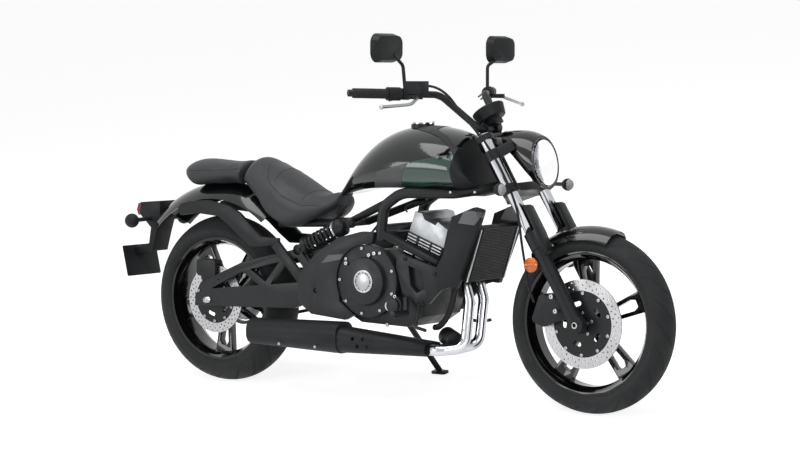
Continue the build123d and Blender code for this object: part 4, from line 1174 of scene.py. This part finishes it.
# Lamps and glass. The headlight's profiles are (share of its half size, depth along its aim)
HEADLIGHT = on_fork(112, 0, 555)
HEADLIGHT_TILT = math.radians(9)
HEADLIGHT_AIM = Vector((math.cos(HEADLIGHT_TILT), 0, math.sin(HEADLIGHT_TILT)))
HEADLIGHT_HALF = (73, 79)
BOWL = ((0.98, -23), (0.98, 1), (0.95, 1), (0.86, -8), (0.7, -14), (0.45, -18), (0.24, -19.5))
GLASS = ((0.985, 1.2), (0.985, 3), (0.9, 6.5), (0.7, 9), (0.4, 10.5), (0.12, 11))
BULB_HOOD = ((17, -19), (17, -9), (15, -5), (8, -3))
SIGNAL_SHELL = ((4, -21.5), (14, -17), (20.5, -7), (21.8, 2), (21.8, 5), (20, 5))
SIGNAL_LENS = ((19.6, 3), (19.2, 9), (16, 15), (10, 19.5), (3, 21.4))
# The left signal and the run of its stalk, which the right side mirrors
SIGNAL = (1342, 217, 758)
STALK = ((1338, 217, 758), (1340, 171.5, 761), (1338, 126, 764))
STALK_RADIUS = 7
MIRROR_HEIGHT = 92
MIRROR_BORDER = 8
MIRROR_SIDES = 40
MIRROR_SQUARENESS = 3.4


def mirror_glass(side):
    """Upright form of a rounded glass on the rider's side of a mirror."""
    form = node_form("mirrors")
    spots = np.array([vert.co for vert in form.verts if vert.co.y * side > 0])
    form.free()
    head = spots[spots[:, 2] > spots[:, 2].max() - MIRROR_HEIGHT]
    low, high = head.min(0), head.max(0)
    middle, half = (low + high) / 2, (high - low) / 2 - MIRROR_BORDER
    outline = []
    for angle in turns(MIRROR_SIDES):
        across, up = math.cos(angle), math.sin(angle)
        reach = (abs(across) ** MIRROR_SQUARENESS + abs(up) ** MIRROR_SQUARENESS) ** (-1 / MIRROR_SQUARENESS)
        outline.append((middle[1] + half[1] * reach * across, middle[2] + half[2] * reach * up))
    return closed_form([[(x, y, z) for y, z in outline] for x in (low[0] + 1, low[0] - 0.8)])


def headlight_form(profile):
    """Upright turned form stretched to the headlight's oval."""
    wide, high = HEADLIGHT_HALF
    form = turned_form(profile, (0, 0, 0), UP, 64)
    stretch = (LEFT * wide, HEADLIGHT_AIM.cross(LEFT) * high, HEADLIGHT_AIM)
    turn = Matrix(stretch).transposed().to_4x4()
    turn.translation = HEADLIGHT
    form.transform(turn)
    bmesh.ops.recalc_face_normals(form, faces=form.faces)
    return form


class CRUISER_OT_lamps(bpy.types.Operator):
    """Headlight bowl and glass, turn signals and mirror glasses"""

    bl_idname = "cruiser.lamps"
    bl_label = "Lamps and glass"

    def execute(self, context):
        bowl = fitted("headlight_bowl", headlight_form(BOWL), "steering", "clear_lens", "reflector", 30)
        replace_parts(bowl, "headlight_lens")
        fitted("headlight_glass", headlight_form(GLASS), "steering", "clear_lens", "lamp_glass", SOFT_FOLD)
        shells, lenses = [], []
        for side in (1, -1):
            x, y, z = SIGNAL
            spot = (x, side * y, z)
            shells.append(turned_form(SIGNAL_SHELL, spot, FORWARD, 36))
            shells.append(run_form([(x, side * y, z) for x, y, z in STALK], STALK_RADIUS))
            lenses.append(turned_form(SIGNAL_LENS, spot, FORWARD, 36))
        shell = fitted("signal_shells", joined_forms(shells), "steering", "black_plastic")
        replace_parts(shell, "front_signals")
        fitted("signal_lenses", joined_forms(lenses), "steering", "clear_lens", fold=SOFT_FOLD)
        glasses = joined_forms([mirror_glass(side) for side in (-1, 1)])
        fitted("mirror_glasses", glasses, "steering", "clear_lens", "mirror_glass")
        hood = turned_form(BULB_HOOD, HEADLIGHT, HEADLIGHT_AIM, 32)
        fitted("headlight_bulb_hood", hood, "steering", "satin_black")
        return {"FINISHED"}


# Stage. The camera stands off the upright machine, in mm, and the lamps' places are in metres
CAMERA_SPOT = Vector((5668, -6914, 1145))
CAMERA_LENS = 107.8
CAMERA_SENSOR = 36
CAMERA_REACH = 60
AZIMUTH = math.radians(35.25)
ELEVATION = math.radians(3.63)
FLOOR_HALF = 30
FLOOR_GLOW = 0.8
WORLD_LIGHT = 0.16
# Name, place, aim, width and height, and power in watts
STUDIO_LAMPS = (
    ("top_box", (0.2, -0.8, 3.6), (0.1, 0, 0.5), (3.6, 2.0), 85),
    ("front_box", (4.2, -3.4, 1.8), (0.3, 0, 0.5), (1.6, 2.4), 60),
    ("side_box", (-2.6, -4.4, 1.7), (-0.2, 0, 0.5), (2.4, 1.6), 60),
)


def camera():
    """Camera of the photograph's view."""
    data = bpy.data.cameras.new("photo_view")
    data.lens, data.sensor_width, data.clip_end = CAMERA_LENS, CAMERA_SENSOR, CAMERA_REACH
    back = Vector((
        math.sin(AZIMUTH) * math.cos(ELEVATION), -math.cos(AZIMUTH) * math.cos(ELEVATION),
        math.sin(ELEVATION)))
    right = Vector((math.cos(AZIMUTH), math.sin(AZIMUTH), 0))
    turn = Matrix((right, back.cross(right), back)).transposed().to_4x4()
    cam = scratch("photo_view", data)
    cam.matrix_world = PARKED @ Matrix.Translation(CAMERA_SPOT * MILLIMETRE) @ turn
    bpy.context.scene.camera = cam


def seen_rays(tree):
    """Node whose Value is 1 for camera, glossy and transmission rays."""
    path, first, both = new_nodes(tree, "ShaderNodeLightPath", "ShaderNodeMath", "ShaderNodeMath")
    first.operation = both.operation = "MAXIMUM"
    wire(tree, (path, "Is Camera Ray", first, 0), (path, "Is Glossy Ray", first, 1),
         (first, "Value", both, 0), (path, "Is Transmission Ray", both, 1))
    return both


def floor():
    """Pale floor that keeps the shadow and shows white."""
    form = bmesh.new()
    bmesh.ops.create_grid(form, x_segments=8, y_segments=8, size=FLOOR_HALF)
    plane = scratch("floor", mesh_of("floor", form))
    mat = bpy.data.materials.new("floor")
    mat.use_nodes = True
    tree = mat.node_tree
    shader = tree.nodes["Principled BSDF"]
    preset(shader, Base_Color=(0.82, 0.82, 0.82, 1), Roughness=0.9, Specular_IOR_Level=0.1)
    glow, mix, scale = new_nodes(tree, "ShaderNodeEmission", "ShaderNodeAddShader", "ShaderNodeMath")
    scale.operation = "MULTIPLY"
    scale.inputs[1].default_value = FLOOR_GLOW
    wire(tree, (seen_rays(tree), "Value", scale, 0), (scale, "Value", glow, "Strength"),
         (shader, "BSDF", mix, 0), (glow, "Emission", mix, 1),
         (mix, "Shader", tree.nodes["Material Output"], "Surface"))
    plane.data.materials.append(mat)


def world():
    """White surround for the eye and for gloss, and a plain soft light."""
    sky = bpy.data.worlds.new("studio")
    bpy.context.scene.world = sky
    sky.use_nodes = True
    tree = sky.node_tree
    plain = tree.nodes["Background"]
    spread = tree.nodes.new("ShaderNodeMapRange")
    preset(plain, Color=(1, 1, 1, 1))
    preset(spread, To_Min=WORLD_LIGHT, To_Max=1)
    wire(tree, (seen_rays(tree), "Value", spread, "Value"), (spread, "Result", plain, "Strength"))


def lamp_box(name, spot, aim, size, power):
    """Soft rectangular lamp."""
    data = bpy.data.lights.new(name, "AREA")
    data.shape = "RECTANGLE"
    data.size, data.size_y = size
    data.energy = power
    lamp = scratch(name, data)
    lamp.location = spot
    lamp.rotation_mode = "QUATERNION"
    lamp.rotation_quaternion = (Vector(aim) - Vector(spot)).to_track_quat("-Z", "Y")


class CRUISER_OT_stage(bpy.types.Operator):
    """Camera, floor, surround and lamps"""

    bl_idname = "cruiser.stage"
    bl_label = "Stage"

    def execute(self, context):
        camera()
        floor()
        world()
        for lamp in STUDIO_LAMPS:
            lamp_box(*lamp)
        context.scene.view_settings.view_transform = "Standard"
        return {"FINISHED"}


class CRUISER_PT_panel(bpy.types.Panel):
    """Sizes, colours and steps of the motorcycle's looks"""

    bl_idname = "CRUISER_PT_panel"
    bl_label = "Motorcycle"
    bl_space_type = "VIEW_3D"
    bl_region_type = "UI"
    bl_category = "Motorcycle"

    def draw(self, context):
        for group in (context.scene.cruiser_colours, context.scene.cruiser_sizes):
            for label in group.__annotations__:
                self.layout.prop(group, label)
        for step in STEPS:
            self.layout.operator(step.bl_idname)


STEPS = (
    CRUISER_OT_stage, CRUISER_OT_finishes, CRUISER_OT_tyres, CRUISER_OT_skins, CRUISER_OT_seats,
    CRUISER_OT_tank, CRUISER_OT_engine, CRUISER_OT_trim, CRUISER_OT_wheels, CRUISER_OT_lamps,
    CRUISER_OT_spring, CRUISER_OT_lines, CRUISER_OT_radiator,
)
CLASSES = (CruiserColours, CruiserSizes, *STEPS, CRUISER_PT_panel)


def register():
    for item in CLASSES:
        bpy.utils.register_class(item)
    bpy.types.Scene.cruiser_colours = PointerProperty(type=CruiserColours)
    bpy.types.Scene.cruiser_sizes = PointerProperty(type=CruiserSizes)


def unregister():
    del bpy.types.Scene.cruiser_sizes
    del bpy.types.Scene.cruiser_colours
    for item in reversed(CLASSES):
        bpy.utils.unregister_class(item)


def main():
    """Registers the add-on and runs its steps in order."""
    register()
    for step in STEPS:
        getattr(bpy.ops.cruiser, step.bl_idname.split(".")[1])()


if __name__ == "__main__":
    main()
